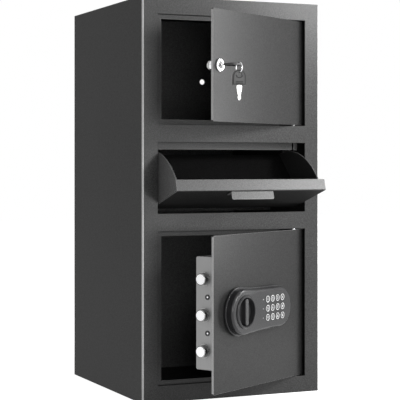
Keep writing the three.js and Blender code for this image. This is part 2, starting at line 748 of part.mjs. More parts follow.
// The pin runs from lug to lug, in two knuckles welded to the back of the door.
function hingeRod({ bottom, top }) {
  const seat = doorBack + FIT;
  const half = KNUCKLE / 2;
  const plan = new THREE.Shape();
  plan.moveTo(hinge.x - half, seat);
  plan.lineTo(hinge.x + half, seat);
  plan.absarc(hinge.x, Math.max(hinge.y, seat), half, 0, Math.PI);
  const reach = LUG_GAP + LUG_SHEET;
  const low = bottom + KNUCKLE_FROM_END;
  const high = top - KNUCKLE_FROM_END;
  return join(
    rod("z", PIN, bottom - reach, top + reach, hinge.x, hinge.y, FINE_ROUND),
    plate("z", plan, low, low + KNUCKLE_LENGTH, ARC_STEPS),
    plate("z", plan, high - KNUCKLE_LENGTH, high, ARC_STEPS),
  );
}

// Key lock, on a line along Y
const lockX = doorLeft + LOCK_FROM_EDGE;
const lockZ = (upper.bottom + upper.top) / 2;
const lockBore = LOCK_BARREL + 2 * FIT;
const plugBore = PLUG + 2 * FIT;
const lockEnd = FRONT + LOCK_LENGTH;
const faceFront = FRONT - FIT - LOCK_FACE_THICK;

function lockBarrel() {
  const bevel = LOCK_FACE_THICK / 3;
  return turned([
    [plugBore / 2, faceFront + bevel / 2],
    [plugBore / 2 + bevel / 2, faceFront],
    [LOCK_FACE / 2 - bevel, faceFront],
    [LOCK_FACE / 2, faceFront + bevel],
    [LOCK_FACE / 2, FRONT - FIT],
    [LOCK_BARREL / 2, FRONT - FIT],
    [LOCK_BARREL / 2, lockEnd - bevel],
    [LOCK_BARREL / 2 - bevel, lockEnd],
    [plugBore / 2, lockEnd],
    [plugBore / 2, faceFront + bevel / 2],
  ], lockX, lockZ);
}

function lockNut() {
  const outline = new THREE.Shape();
  for (let side = 0; side < 6; side++) {
    const angle = degrees(60 * side + 30);
    const [x, z] = [lockX + (LOCK_NUT / 2) * Math.cos(angle), lockZ + (LOCK_NUT / 2) * Math.sin(angle)];
    if (side) outline.lineTo(x, z);
    else outline.moveTo(x, z);
  }
  hole(outline, lockX, lockZ, lockBore);
  const seat = doorBack + FIT;
  return plate("y", outline, seat, seat + LOCK_NUT_THICK);
}

const shoulder = FRONT - KEY_OUT;
const tenonEnd = lockEnd + 2 * FIT + CAM_SHEET;

// The plug has a slot for the key in front and a square tenon for the cam behind.
function lockPlug() {
  const half = TENON / 2;
  const keyEnd = shoulder + BLADE_LENGTH + FIT;
  const body = join(
    rod("y", PLUG, faceFront + FIT, lockEnd, lockX, lockZ),
    box(lockX - half, lockX + half, lockEnd - 1, tenonEnd, lockZ - half, lockZ + half),
  );
  const slot = box(
    lockX - BLADE_WIDTH / 2 - FIT, lockX + BLADE_WIDTH / 2 + FIT, faceFront - 1, keyEnd,
    lockZ - BLADE_THICK / 2 - FIT, lockZ + BLADE_THICK / 2 + FIT,
  );
  const bore = CAM_SCREW_SHANK + 2 * FIT;
  return cut(body, slot, rod("y", bore, tenonEnd - CAM_SCREW_LENGTH, tenonEnd + 1, lockX, lockZ, 16));
}

// The cam steps towards the door beyond its seat, so that its tip turns in close behind the lip.
function lockCam() {
  const near = lockEnd + FIT;
  const far = near + CAM_SHEET;
  const half = CAM_WIDTH / 2;
  const rise = CAM_CRANK;
  const side = polygon([
    [lockX - half, near],
    [lockX + CAM_SEAT, near],
    [lockX + CAM_SEAT + rise / 3, near - rise],
    [lockX + CAM_REACH, near - rise],
    [lockX + CAM_REACH, far - rise],
    [lockX + CAM_SEAT + rise / 3 + CAM_SHEET, far - rise],
    [lockX + CAM_SEAT + CAM_SHEET, far],
    [lockX - half, far],
  ]);
  const bar = plate("z", side, lockZ - half, lockZ + half);
  const outline = new THREE.Shape();
  outline.absarc(lockX, lockZ, half, Math.PI / 2, 1.5 * Math.PI);
  outline.lineTo(lockX + CAM_REACH, lockZ - half);
  outline.lineTo(lockX + CAM_REACH, lockZ + half);
  const profile = solidOf(plate("y", outline, near - 2 * rise, far + 1));
  const square = TENON / 2 + FIT;
  const seat = box(lockX - square, lockX + square, near - 1, far + 1, lockZ - square, lockZ + square);
  return cut(geometryOf(solidOf(bar).intersect(profile)), seat);
}

function camScrew() {
  const seat = tenonEnd + FIT;
  return join(
    rod("y", CAM_SCREW, seat, seat + CAM_SCREW_HEAD, lockX, lockZ, 6),
    rod("y", CAM_SCREW_SHANK, seat - CAM_SCREW_LENGTH + FIT, seat + 1, lockX, lockZ, 16),
  );
}

// A key is drawn lying flat, its shoulder at the origin and its tip towards +Y.
function keyBladeShape() {
  const tang = TANG_WIDTH / 2;
  const side = BLADE_OUTLINE.map(([along, wide]) => [(wide * BLADE_WIDTH) / 2, along * BLADE_LENGTH]);
  const other = side.map(([x, y]) => [-x, y]).reverse();
  return polygon([[-tang, 0], [-tang, -TANG_LENGTH], [tang, -TANG_LENGTH], [tang, 0], ...side, ...other]);
}

function keyBlade() {
  return plate("z", keyBladeShape(), -BLADE_THICK / 2, BLADE_THICK / 2);
}

// The moulded head, with the pocket that takes the blade's tang.
function keyHead() {
  const half = HEAD_WIDTH / 2;
  const outline = new THREE.Shape();
  outline.moveTo(-half, -FIT);
  outline.lineTo(-half, half - HEAD_LENGTH);
  outline.absarc(0, half - HEAD_LENGTH, half, Math.PI, 2 * Math.PI);
  outline.lineTo(half, -FIT);
  hole(outline, 0, HEAD_HOLE_INSET - HEAD_LENGTH, HEAD_HOLE);
  const pocket = box(
    -TANG_WIDTH / 2 - FIT, TANG_WIDTH / 2 + FIT, -TANG_LENGTH - FIT, 1,
    -BLADE_THICK / 2 - FIT, BLADE_THICK / 2 + FIT,
  );
  return cut(plate("z", outline, -HEAD_THICK / 2, HEAD_THICK / 2, 10), pocket);
}

const headEnd = shoulder - HEAD_LENGTH;
const keyRing = (() => {
  const y = headEnd + RING_INSET;
  const inside = RING_RADIUS - RING_WIRE / 2;
  const span = Math.max(RING_INSET, HEAD_HOLE_INSET - HEAD_HOLE / 2 - RING_INSET);
  const z = lockZ + HEAD_THICK / 2 + FIT - Math.sqrt(inside ** 2 - span ** 2);
  return { y, z, low: z - RING_RADIUS };
})();

function ringWire() {
  const torus = new THREE.TorusGeometry(RING_RADIUS, RING_WIRE / 2, 8, ROUND);
  return torus.rotateY(Math.PI / 2).rotateZ(degrees(-RING_TURN)).translate(lockX, keyRing.y, keyRing.z);
}

// The spare key hangs from the ring by its head's hole, tip down.
function hangSpare(geometry) {
  const holeTop = keyRing.low + RING_WIRE / 2 + SPARE_SLACK;
  const end = holeTop + HEAD_HOLE_INSET - HEAD_HOLE / 2;
  return geometry
    .rotateX(-Math.PI / 2)
    .rotateZ(degrees(-SPARE_TURN))
    .translate(lockX, keyRing.y, end - HEAD_LENGTH);
}

// Bolt work
const boxLeft = boltTip + BOLT_OUT;
const boxRight = boxLeft + BOX_WIDTH;
const boxFront = doorBack + FIT;
const boxBack = doorBack + BOX_DEPTH;
const boxFloor = lowerMiddle - BOX_HEIGHT / 2;
const knobX = doorLeft + KNOB_FROM_EDGE;
const knobZ = lowerMiddle + KEYPAD_RAISE;
const battery = {
  left: boxRight - BATTERY_FROM_END - BATTERY_WIDTH,
  right: boxRight - BATTERY_FROM_END,
  bottom: lowerMiddle - BATTERY_DROP - BATTERY_HEIGHT / 2,
  top: lowerMiddle - BATTERY_DROP + BATTERY_HEIGHT / 2,
};

// A tray with chamfered back edges, open to the door, with collared holes for the bolts and a
// window in its back for the battery holder.
function boltBox() {
  const tray = (inset, back) => {
    const chamfer = BOX_CHAMFER;
    return polygon([
      [boxFront, boxFloor + inset],
      [back - chamfer, boxFloor + inset],
      [back, boxFloor + inset + chamfer],
      [back, boxFloor + BOX_HEIGHT - inset - chamfer],
      [back - chamfer, boxFloor + BOX_HEIGHT - inset],
      [boxFront, boxFloor + BOX_HEIGHT - inset],
    ]);
  };
  const t = BOX_SHEET;
  const outside = plate("x", tray(0, boxBack), boxLeft, boxRight);
  const hollow = plate("x", tray(t, boxBack - t), boxLeft + t, boxRight - t).translate(0, -FIT, 0);
  const mouth = box(boxLeft + t, boxRight - t, boxFront - 1, boxFront + 1, boxFloor + t,
    boxFloor + BOX_HEIGHT - t);
  const collars = boltZ.map((z) =>
    rod("x", BOLT + 2 * BOLT_COLLAR, boxLeft - t / 2, boxLeft + t / 2, boltY, z),
  );
  const holes = boltZ.map((z) => rod("x", BOLT + 2 * FIT, boxLeft - t, boxLeft + 2 * t, boltY, z));
  const window = box(battery.left - FIT, battery.right + FIT, boxBack - 2 * t, boxBack + t,
    battery.bottom - FIT, battery.top + FIT);
  return cut(join(outside, ...collars), hollow, mouth, ...holes, window);
}

const barX = boltTip + BAR_BEHIND_TIP;
const tailEnd = barX + BAR_SHEET + 1;

function bolt(z) {
  const body = new THREE.LatheGeometry(
    [
      [0, boltTip],
      [BOLT / 2 - BOLT_CHAMFER, boltTip],
      [BOLT / 2, boltTip + BOLT_CHAMFER],
      [BOLT / 2, barX - FIT],
      [BOLT_TAIL / 2, barX - FIT],
      [BOLT_TAIL / 2, tailEnd],
      [0, tailEnd],
    ].map(([radius, x]) => new THREE.Vector2(radius, x)),
    ROUND,
  );
  return body.rotateZ(-Math.PI / 2).translate(0, boltY, z);
}

// The crank pin swings through the knob's turn, evenly to both sides of upright.
const crankRadius = BOLT_THROW / 2 / Math.sin(degrees(KNOB_TURN / 2));
const slotX = knobX + BOLT_THROW / 2;
const barPlate = { from: doorBack + BAR_FRONT + CRANK_SHEET + FIT, sheet: BAR_SHEET };

// An upright flange that carries the bolts, and an arm with the slot that the crank pin works in.
function boltBar() {
  const low = boltZ[2] - BAR_END - BOLT_TAIL;
  const high = boltZ[0] + BAR_END + BOLT_TAIL;
  const flange = box(barX, barX + BAR_SHEET, barPlate.from, barPlate.from + BAR_DEPTH, low, high);
  const slotMiddle = knobZ + (crankRadius * (1 + Math.cos(degrees(KNOB_TURN / 2)))) / 2;
  const slotHalf = (crankRadius * (1 - Math.cos(degrees(KNOB_TURN / 2)))) / 2 + CRANK_PIN / 2 + 1;
  const slotWide = CRANK_PIN / 2 + CRANK_SLOT_PLAY;
  const arm = rounded(
    barX, slotX + slotWide + BAR_END,
    slotMiddle - BAR_ARM_HEIGHT / 2, slotMiddle + BAR_ARM_HEIGHT / 2, BAR_CORNER,
  );
  const slot = rounded(
    slotX - slotWide, slotX + slotWide, slotMiddle - slotHalf, slotMiddle + slotHalf, CRANK_SLOT_CORNER,
  );
  const holes = boltZ.map((z) =>
    rod("x", BOLT_TAIL + 2 * FIT, barX - 1, barX + BAR_SHEET + 1, boltY, z, FINE_ROUND),
  );
  const body = join(flange, plate("y", arm, barPlate.from, barPlate.from + barPlate.sheet, 4));
  return cut(body, plate("y", slot, barPlate.from - 1, barPlate.from + barPlate.sheet + 1, 4), ...holes);
}

// Shaft through the door, with a crank arm and its pin at the back.
function knobSpindle() {
  const armFront = doorBack + BAR_FRONT;
  const armBack = armFront + CRANK_SHEET;
  const pinX = slotX;
  const pinZ = knobZ + crankRadius * Math.cos(degrees(KNOB_TURN / 2));
  const pinEnd = barPlate.from + barPlate.sheet + 2;
  const arm = new THREE.Shape();
  const lean = Math.atan2(pinZ - knobZ, pinX - knobX);
  arm.absarc(knobX, knobZ, SPINDLE * 0.9, lean + Math.PI / 2, lean + 1.5 * Math.PI);
  arm.absarc(pinX, pinZ, CRANK_PIN * 0.9, lean - Math.PI / 2, lean + Math.PI / 2);
  return join(
    rod("y", SPINDLE, spindleFront, armFront + 1, knobX, knobZ, FINE_ROUND),
    plate("y", arm, armFront, armBack, 8),
    rod("y", CRANK_PIN, armBack - 1, pinEnd, pinX, pinZ, FINE_ROUND),
  );
}

// Solenoid on the back wall of the box, its plunger level with the bar's flange.
function solenoid() {
  const [across, deep, tall] = SOLENOID;
  const seat = boxBack - BOX_SHEET - FIT;
  const left = barX + BAR_SHEET + SOLENOID_OFFSET;
  const z = knobZ + SOLENOID_RISE;
  const middle = seat - deep / 2;
  return join(
    box(left, left + across, seat - deep, seat, z - tall / 2, z + tall / 2),
    rod("x", SOLENOID_PLUNGER, left - SOLENOID_PLUNGER_OUT, left + 1, middle, z, 16),
  );
}

function batteryHolder() {
  const { left, right, bottom, top } = battery;
  const rimBack = boxBack + FIT + BATTERY_WALL;
  const front = boxBack - BATTERY_DEPTH;
  const shell = join(
    box(left, right, front, rimBack - BATTERY_WALL / 2, bottom, top),
    box(left - BATTERY_RIM, right + BATTERY_RIM, boxBack + FIT, rimBack, bottom - BATTERY_RIM, top + BATTERY_RIM),
  );
  const w = BATTERY_WALL;
  return cut(shell, box(left + w, right - w, front + w, rimBack + 1, bottom + w, top - w));
}

// Lid of the battery holder, with its finger ribs.
function batteryCover() {
  const seat = boxBack + 2 * FIT + BATTERY_WALL;
  const outline = rounded(
    battery.left - BATTERY_RIM, battery.right + BATTERY_RIM,
    battery.bottom - BATTERY_RIM, battery.top + BATTERY_RIM, BATTERY_RIM,
  );
  const lid = plate("y", outline, seat, seat + BATTERY_LID, 5);
  const middle = (battery.left + battery.right) / 2;
  const ribs = [];
  for (let i = 0; i < COVER_RIBS; i++) {
    const top = battery.top - RIB_DROP - i * RIB_PITCH;
    ribs.push(box(middle - RIB_LENGTH / 2, middle + RIB_LENGTH / 2, seat + 1, seat + BATTERY_LID + 1,
      top - RIB_WIDE, top));
  }
  return join(lid, ...ribs);
}

// Keypad unit
const rightX = knobX + LOBE_SPACING;
const housingFace = FRONT - HOUSING_FACE;
const baseSeat = FRONT - FIT;
const baseFront = baseSeat - BASE_THICK;
const housingSeat = baseFront - FIT;

// Two round lobes joined by gently hollow sides.
function lobes(inset) {
  const left = BASE_LOBE - inset;
  const right = BASE_RIGHT_LOBE - inset;
  const [a, b] = [degrees(LOBE_ANGLE), degrees(RIGHT_LOBE_ANGLE)];
  const leftPoint = (angle) => [knobX + left * Math.cos(angle), knobZ + left * Math.sin(angle)];
  const rightPoint = (angle) => [rightX + right * Math.cos(angle), knobZ + right * Math.sin(angle)];
  const [x1, z1] = leftPoint(a);
  const [x2, z2] = rightPoint(b);
  // Where the two lobes' tangents cross: the control point of each hollow side
  const [s1, s2] = [Math.cos(a) / Math.sin(a), Math.cos(b) / Math.sin(b)];
  const crossX = (z2 - z1 + s2 * x2 - s1 * x1) / (s2 - s1);
  const crossZ = z1 - s1 * (crossX - x1);
  const outline = new THREE.Shape();
  outline.absarc(rightX, knobZ, right, -b, b);
  outline.quadraticCurveTo(crossX, crossZ, x1, z1);
  outline.absarc(knobX, knobZ, left, a, 2 * Math.PI - a);
  outline.quadraticCurveTo(crossX, 2 * knobZ - crossZ, x2, 2 * knobZ - z2);
  return outline;
}

const keyCentres = [];
for (let row = 0; row < KEY_ROWS; row++) {
  for (let column = 0; column < KEY_COLUMNS; column++) {
    keyCentres.push([
      knobX + FIRST_COLUMN + column * KEY_PITCH,
      knobZ + KEYS_RAISE + (1 - row) * KEY_PITCH,
    ]);
  }
}
const boardFront = housingFace + HOUSING_WALL + FIT + KEY_SKIRT + BOARD_GAP;

// Flange against the door, with the posts that carry the circuit board.
function keypadBase() {
  const outline = lobes(0);
  hole(outline, knobX, knobZ, SPINDLE + 2 * FIT + 1);
  const base = plate("y", outline, baseFront, baseSeat, 10, 1);
  const [first, last] = [keyCentres[0], keyCentres[keyCentres.length - 1]];
  const posts = [first[0] - KEY_PITCH / 2, last[0] + KEY_PITCH / 2].map((x) =>
    rod("y", BOARD_POST, boardFront + BOARD_THICK + FIT, baseFront + 2, x, knobZ, 16),
  );
  return join(base, ...posts);
}

// Moulded shell with a rounded rim, the knob's well and a hole for each key.
function keypadHousing() {
  const outside = plate("y", lobes(HOUSING_INSET), housingFace, housingSeat + HOUSING_ROUND, 10, HOUSING_ROUND);
  const trim = box(-WIDTH, WIDTH, housingSeat, housingSeat + 2 * HOUSING_ROUND, 0, HEIGHT);
  const hollow = plate("y", lobes(HOUSING_INSET + HOUSING_WALL), housingFace + HOUSING_WALL, housingSeat + 1, 8);
  const wellWall = rod("y", KNOB_WELL + 2 * HOUSING_WALL, housingFace + 1, housingSeat, knobX, knobZ);
  const well = rod("y", KNOB_WELL, housingFace - 1, housingSeat + 1, knobX, knobZ);
  const keyHoles = keyCentres.map(([x, z]) =>
    rod("y", KEY_CAP + 2 * FIT, housingFace - 1, housingFace + HOUSING_WALL + 1, x, z, FINE_ROUND),
  );
  return cut(join(cut(outside, trim, hollow), wellWall), well, ...keyHoles);
}

function knobRing() {
  const seat = housingFace - FIT;
  const bore = KNOB_WELL / 2;
  const rim = RING_OUTSIDE / 2;
  const bevel = RING_THICK / 3;
  return turned([
    [bore, seat],
    [bore, seat - RING_THICK + bevel],
    [bore + bevel, seat - RING_THICK],
    [rim - 2 * bevel, seat - RING_THICK],
    [rim, seat - bevel],
    [rim, seat],
    [bore, seat],
  ], knobX, knobZ, RIM_ROUND);
}

const discFront = housingFace + KNOB_SINK;
const discBack = discFront + KNOB_DISC_THICK;
const spindleFront = discFront + 1;

// Dished disc with a grip bar across it and a blind socket for the spindle.
function knob() {
  const rim = KNOB_DISC / 2;
  const disc = turned([
    [0, discFront],
    [rim - 1, discFront],
    [rim, discFront + 1],
    [rim, discBack],
    [0, discBack],
  ], knobX, knobZ, RIM_ROUND);
  const gripFront = discFront - GRIP_HEIGHT;
  const half = rim - 1.5;
  const outline = rounded(knobX - GRIP_WIDTH / 2, knobX + GRIP_WIDTH / 2, knobZ - half, knobZ + half, GRIP_WIDTH / 2.2);
  const grip = plate("y", outline, gripFront, discFront + 2 * GRIP_ROUND, 6, GRIP_ROUND);
  const socket = rod("y", SPINDLE + 2 * FIT, spindleFront - FIT, discBack + 1, knobX, knobZ, FINE_ROUND);
  return cut(join(disc, grip), socket);
}

// A key's cap, with the skirt that keeps it in behind the face.
function padKey(x, z) {
  const front = housingFace - KEY_PROUD;
  const skirt = housingFace + HOUSING_WALL + FIT;
  const cap = KEY_CAP / 2;
  return turned([
    [0, front],
    [cap - 0.5, front],
    [cap, front + 0.5],
    [cap, skirt],
    [cap + KEY_SKIRT_WIDE, skirt],
    [cap + KEY_SKIRT_WIDE, skirt + KEY_SKIRT],
    [0, skirt + KEY_SKIRT],
  ], x, z, FINE_ROUND);
}

function circuitBoard() {
  const [first, last] = [keyCentres[0], keyCentres[keyCentres.length - 1]];
  const margin = KEY_CAP / 2 + KEY_SKIRT_WIDE;
  return box(first[0] - margin - 2, last[0] + margin + 2, boardFront, boardFront + BOARD_THICK,
    last[1] - margin, first[1] + margin);
}

// Body
add(safe, "cabinet_wrap", "body", cabinetWrap());
add(safe, "top_panel", "body", endPanel(HEIGHT - SHEET, false));
add(safe, "bottom_panel", "body", endPanel(0, true));
add(safe, "back_panel", "body", backPanel());
add(safe, "upper_shelf", "inner", upperShelf());
add(safe, "drop_baffle", "inner", dropBaffle());
add(safe, "upper_stop_frame", "inner", stopFrame(upper));
add(safe, "lower_stop_frame", "inner", lowerStopFrame());
add(safe, "hopper_stop_lip", "inner", hopperStopLip());
add(safe, "upper_hinge_lug_top", "inner", hingeLug(upper.top, 1));
add(safe, "upper_hinge_lug_bottom", "inner", hingeLug(upper.bottom, -1));
add(safe, "lower_hinge_lug_top", "inner", hingeLug(lower.top, 1));
add(safe, "lower_hinge_lug_bottom", "inner", hingeLug(lower.bottom, -1));

// Hopper and its brackets
const leftBracket = panelLeft - BRACKET_OFFSET;
const rightBracket = panelRight + BRACKET_OFFSET;
add(safe, "hopper_bracket_left", "inner", hopperBracket(leftBracket, -1, leftCheek));
add(safe, "hopper_bracket_right", "inner", hopperBracket(rightBracket, 1, rightCheek));
add(hopperGroup, "hopper_front_panel", "body", hopperFrontPanel());
add(hopperGroup, "hopper_cheek_left", "body", hopperCheek(leftCheek, leftBracket, leftBracket));
add(hopperGroup, "hopper_cheek_right", "body", hopperCheek(rightCheek, rightBracket, rightBracket));
add(hopperGroup, "hopper_rear_plate", "body", hopperRearPlate());
add(hopperGroup, "hopper_handle", "body", hopperHandle());

// Upper door
add(upperDoor, "upper_door_panel", "body", doorPanel(upper, [[lockX, lockZ, lockBore]]));
add(upperDoor, "upper_door_hinge_rod", "chrome", hingeRod(upper));
add(upperDoor, "upper_lock_barrel", "chrome", lockBarrel());
add(upperDoor, "upper_lock_nut", "zinc", lockNut());
add(upperDoor, "upper_lock_plug", "chrome", lockPlug());
add(upperDoor, "upper_lock_cam", "zinc", lockCam());
add(upperDoor, "upper_lock_cam_screw", "zinc", camScrew());
add(upperDoor, "key_blade", "chrome", keyBlade().translate(lockX, shoulder, lockZ));
add(upperDoor, "key_head", "softPlastic", keyHead().translate(lockX, shoulder, lockZ));
add(upperDoor, "key_ring", "chrome", ringWire());
add(upperDoor, "spare_key_blade", "chrome", hangSpare(keyBlade()));
add(upperDoor, "spare_key_head", "softPlastic", hangSpare(keyHead()));

// Lower door
const spindleHole = SPINDLE + 2 * FIT + 1;
add(lowerDoor, "lower_door_panel", "body", doorPanel(lower, [[knobX, knobZ, spindleHole]]));
add(lowerDoor, "lower_door_hinge_rod", "chrome", hingeRod(lower));
add(lowerDoor, "bolt_box", "body", boltBox());
["bolt_upper", "bolt_middle", "bolt_lower"].forEach((name, i) => {
  add(lowerDoor, name, "chrome", bolt(boltZ[i]));
});
add(lowerDoor, "bolt_bar", "zinc", boltBar());
add(lowerDoor, "solenoid", "zinc", solenoid());
add(lowerDoor, "battery_holder", "softPlastic", batteryHolder());
add(lowerDoor, "battery_cover", "softPlastic", batteryCover());
add(lowerDoor, "keypad_base", "plastic", keypadBase());
add(lowerDoor, "keypad_housing", "plastic", keypadHousing());
add(lowerDoor, "circuit_board", "board", circuitBoard());
add(lowerDoor, "knob_ring", "plastic", knobRing());
add(lowerDoor, "knob", "softPlastic", knob());
add(lowerDoor, "knob_spindle", "zinc", knobSpindle());
keyCentres.forEach(([x, z], i) => {
  const name = "pad_key_" + String(i + 1).padStart(2, "0");
  add(lowerDoor, name, "softPlastic", padKey(x, z));
});

export default safe;
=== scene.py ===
"""Dresses the deposit safe: powder-coated steel, plated bolts and lock, and a printed keypad."""

from __future__ import annotations

import json  # noqa: E402
import logging  # noqa: E402
import math  # noqa: E402
from dataclasses import dataclass, field  # noqa: E402
from enum import Enum  # noqa: E402
from typing import Any, Callable, Iterable, Sequence  # noqa: E402

import bmesh  # noqa: E402
import bpy  # noqa: E402
from mathutils import Matrix, Vector  # noqa: E402

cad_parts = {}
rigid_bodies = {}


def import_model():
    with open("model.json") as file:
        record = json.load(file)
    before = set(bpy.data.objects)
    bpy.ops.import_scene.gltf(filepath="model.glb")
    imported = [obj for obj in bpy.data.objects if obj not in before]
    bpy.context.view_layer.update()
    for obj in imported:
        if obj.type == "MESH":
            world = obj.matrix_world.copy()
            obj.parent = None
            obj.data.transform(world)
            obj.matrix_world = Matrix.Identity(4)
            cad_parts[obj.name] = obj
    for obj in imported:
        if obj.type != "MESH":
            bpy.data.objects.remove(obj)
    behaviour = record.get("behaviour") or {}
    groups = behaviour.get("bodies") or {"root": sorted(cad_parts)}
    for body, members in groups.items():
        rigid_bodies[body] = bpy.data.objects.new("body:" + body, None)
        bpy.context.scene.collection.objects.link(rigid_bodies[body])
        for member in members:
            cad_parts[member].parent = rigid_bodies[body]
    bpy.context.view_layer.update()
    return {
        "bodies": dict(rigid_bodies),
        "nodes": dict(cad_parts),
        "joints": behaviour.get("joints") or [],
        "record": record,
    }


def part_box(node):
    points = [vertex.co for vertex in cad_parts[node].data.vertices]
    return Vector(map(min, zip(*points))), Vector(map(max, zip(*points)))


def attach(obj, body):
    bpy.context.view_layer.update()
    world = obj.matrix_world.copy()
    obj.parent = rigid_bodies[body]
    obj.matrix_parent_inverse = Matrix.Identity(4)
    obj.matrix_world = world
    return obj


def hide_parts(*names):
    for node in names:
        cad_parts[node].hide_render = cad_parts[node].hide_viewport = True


log = logging.getLogger("deposit_safe")

MM = 0.001
Colour = tuple[float, float, float]

# Parts of a face's normal along an axis, which tell which side of a piece the face is on
BEND_MIDDLE = 0.3  # at least, both along X and along Y: the middle of an upright bend
FLAT = 0.01  # at most, along Z: an upright face
STEEP = 0.8  # at least: a face that looks along the axis
FREE_EDGE = 0.7  # at least, along -X: the free edge of a door at rest

FONT_SIZE = 1.44  # the built-in font's size for a capital of height 1


# ---- Node graphs


class Graph:
    """A node tree with one method that adds any node, whether shader or geometry."""

    def __init__(self, tree: bpy.types.NodeTree) -> None:
        """Wraps the tree to build in."""
        self.tree = tree

    def add(
        self,
        kind: str,
        settings: dict[str, Any] | None = None,
        inputs: dict[str | int, Any] | None = None,
    ) -> bpy.types.Node:
        """Adds a node.

        Args:
            kind: the node's type.
            settings: its properties, set before its sockets.
            inputs: a value, a Field or a socket for each socket, by place, identifier or name.

        Returns:
            The new node.
        """
        node = self.tree.nodes.new(kind)
        for name, value in (settings or {}).items():
            setattr(node, name, value)
        for name, value in (inputs or {}).items():
            self.feed(self._socket(node, name), value)
        return node

    def out(self, kind: str, inputs: dict[str | int, Any], **settings: Any) -> bpy.types.NodeSocket:
        """Adds a node and gives its first output."""
        return self.add(kind, settings, inputs).outputs[0]

    def feed(self, socket: bpy.types.NodeSocket, value: Any) -> None:
        """Links a socket or Field to a socket, or sets the socket's own value."""
        if isinstance(value, Field):
            value = value.socket
        if isinstance(value, bpy.types.NodeSocket):
            self.tree.links.new(value, socket)
        else:
            socket.default_value = value

    @staticmethod
    def _socket(node: bpy.types.Node, name: str | int) -> bpy.types.NodeSocket:
        """The node's input of that place, identifier or name."""
        if isinstance(name, int):
            return node.inputs[name]
        for socket in node.inputs:
            if socket.identifier == name:
                return socket
        return node.inputs[name]


@dataclass(frozen=True)
class Field:
    """A number that changes over a surface. Each operator adds a Math node."""

    graph: Graph
    socket: bpy.types.NodeSocket

    def _math(self, operation: str, first: Any, second: Any) -> Field:
        """The result of a new Math node."""
        result = self.graph.out("ShaderNodeMath", {0: first, 1: second}, operation=operation)
        return Field(self.graph, result)

    def __add__(self, other: Field | float) -> Field:
        """Sum."""
        return self._math("ADD", self, other)

    def __sub__(self, other: Field | float) -> Field:
        """Difference."""
        return self._math("SUBTRACT", self, other)

    def __rsub__(self, other: Field | float) -> Field:
        """Difference, the other way round."""
        return self._math("SUBTRACT", other, self)

    def __mul__(self, other: Field | float) -> Field:
        """Product."""
        return self._math("MULTIPLY", self, other)

    def __pow__(self, other: Field | float) -> Field:
        """Power."""
        return self._math("POWER", self, other)

    def at_least(self, floor: float) -> Field:
        """The larger of this and a number."""
        return self._math("MAXIMUM", self, floor)

    def at_most(self, ceiling: float) -> Field:
        """The smaller of this and a number."""
        return self._math("MINIMUM", self, ceiling)


class Recipe(Graph):
    """A material under way: a principled surface on Object coordinates."""

    def __init__(self, name: str) -> None:
        """Starts a material of that name."""
        self.material = bpy.data.materials.new(name)
        self.material.use_nodes = True
        super().__init__(self.material.node_tree)
        self.tree.nodes.clear()
        self.output = self.add("ShaderNodeOutputMaterial")
        self.place = self.add("ShaderNodeTexCoord").outputs["Object"]

    def stretched(self, scale: Sequence[float]) -> bpy.types.NodeSocket:
        """Object coordinates scaled along each axis."""
        return self.out("ShaderNodeMapping", {"Vector": self.place, "Scale": tuple(scale)})

    def noise(self, scale: float, detail: float = 2.0, vector: Any = None) -> Field:
        """Soft noise from 0 to 1.

        Args:
            scale: features in a metre.
            detail: layers of finer noise.
            vector: coordinates other than the plain ones.

        Returns:
            The noise.
        """
        inputs = {"Vector": vector or self.place, "Scale": scale, "Detail": detail}
        return Field(self, self.out("ShaderNodeTexNoise", inputs))

    def cells(self, scale: float) -> Field:
        """Distance to the nearest of scattered points, as many in a metre as scale says."""
        return Field(self, self.out("ShaderNodeTexVoronoi", {"Vector": self.place, "Scale": scale}))

    def shade(self, factor: Field, dark: Colour, light: Colour) -> bpy.types.NodeSocket:
        """A colour between two, by a factor."""
        inputs = {"Factor_Float": factor, "A_Color": (*dark, 1), "B_Color": (*light, 1)}
        mix = self.add("ShaderNodeMix", {"data_type": "RGBA"}, inputs)
        return next(out for out in mix.outputs if out.identifier == "Result_Color")

    def bump(self, height: Field, depth: float, strength: float) -> bpy.types.NodeSocket:
        """A surface normal from a height field, depth metres from low to high."""
        inputs = {"Height": height, "Distance": depth, "Strength": strength}
        return self.out("ShaderNodeBump", inputs)

    def finish(self, **sockets: Any) -> bpy.types.Material:
        """Closes the material with a principled surface.

        Args:
            **sockets: the surface's sockets, with _ for each space in a name.

        Returns:
            The material.
        """
        inputs = {name.replace("_", " "): value for name, value in sockets.items()}
        self.feed(self.output.inputs["Surface"], self.out("ShaderNodeBsdfPrincipled", inputs))
        return self.material


# ---- Finishes


def toned(colour: Colour, factor: float) -> Colour:
    """A colour made lighter or darker."""
    return tuple(c * factor for c in colour)


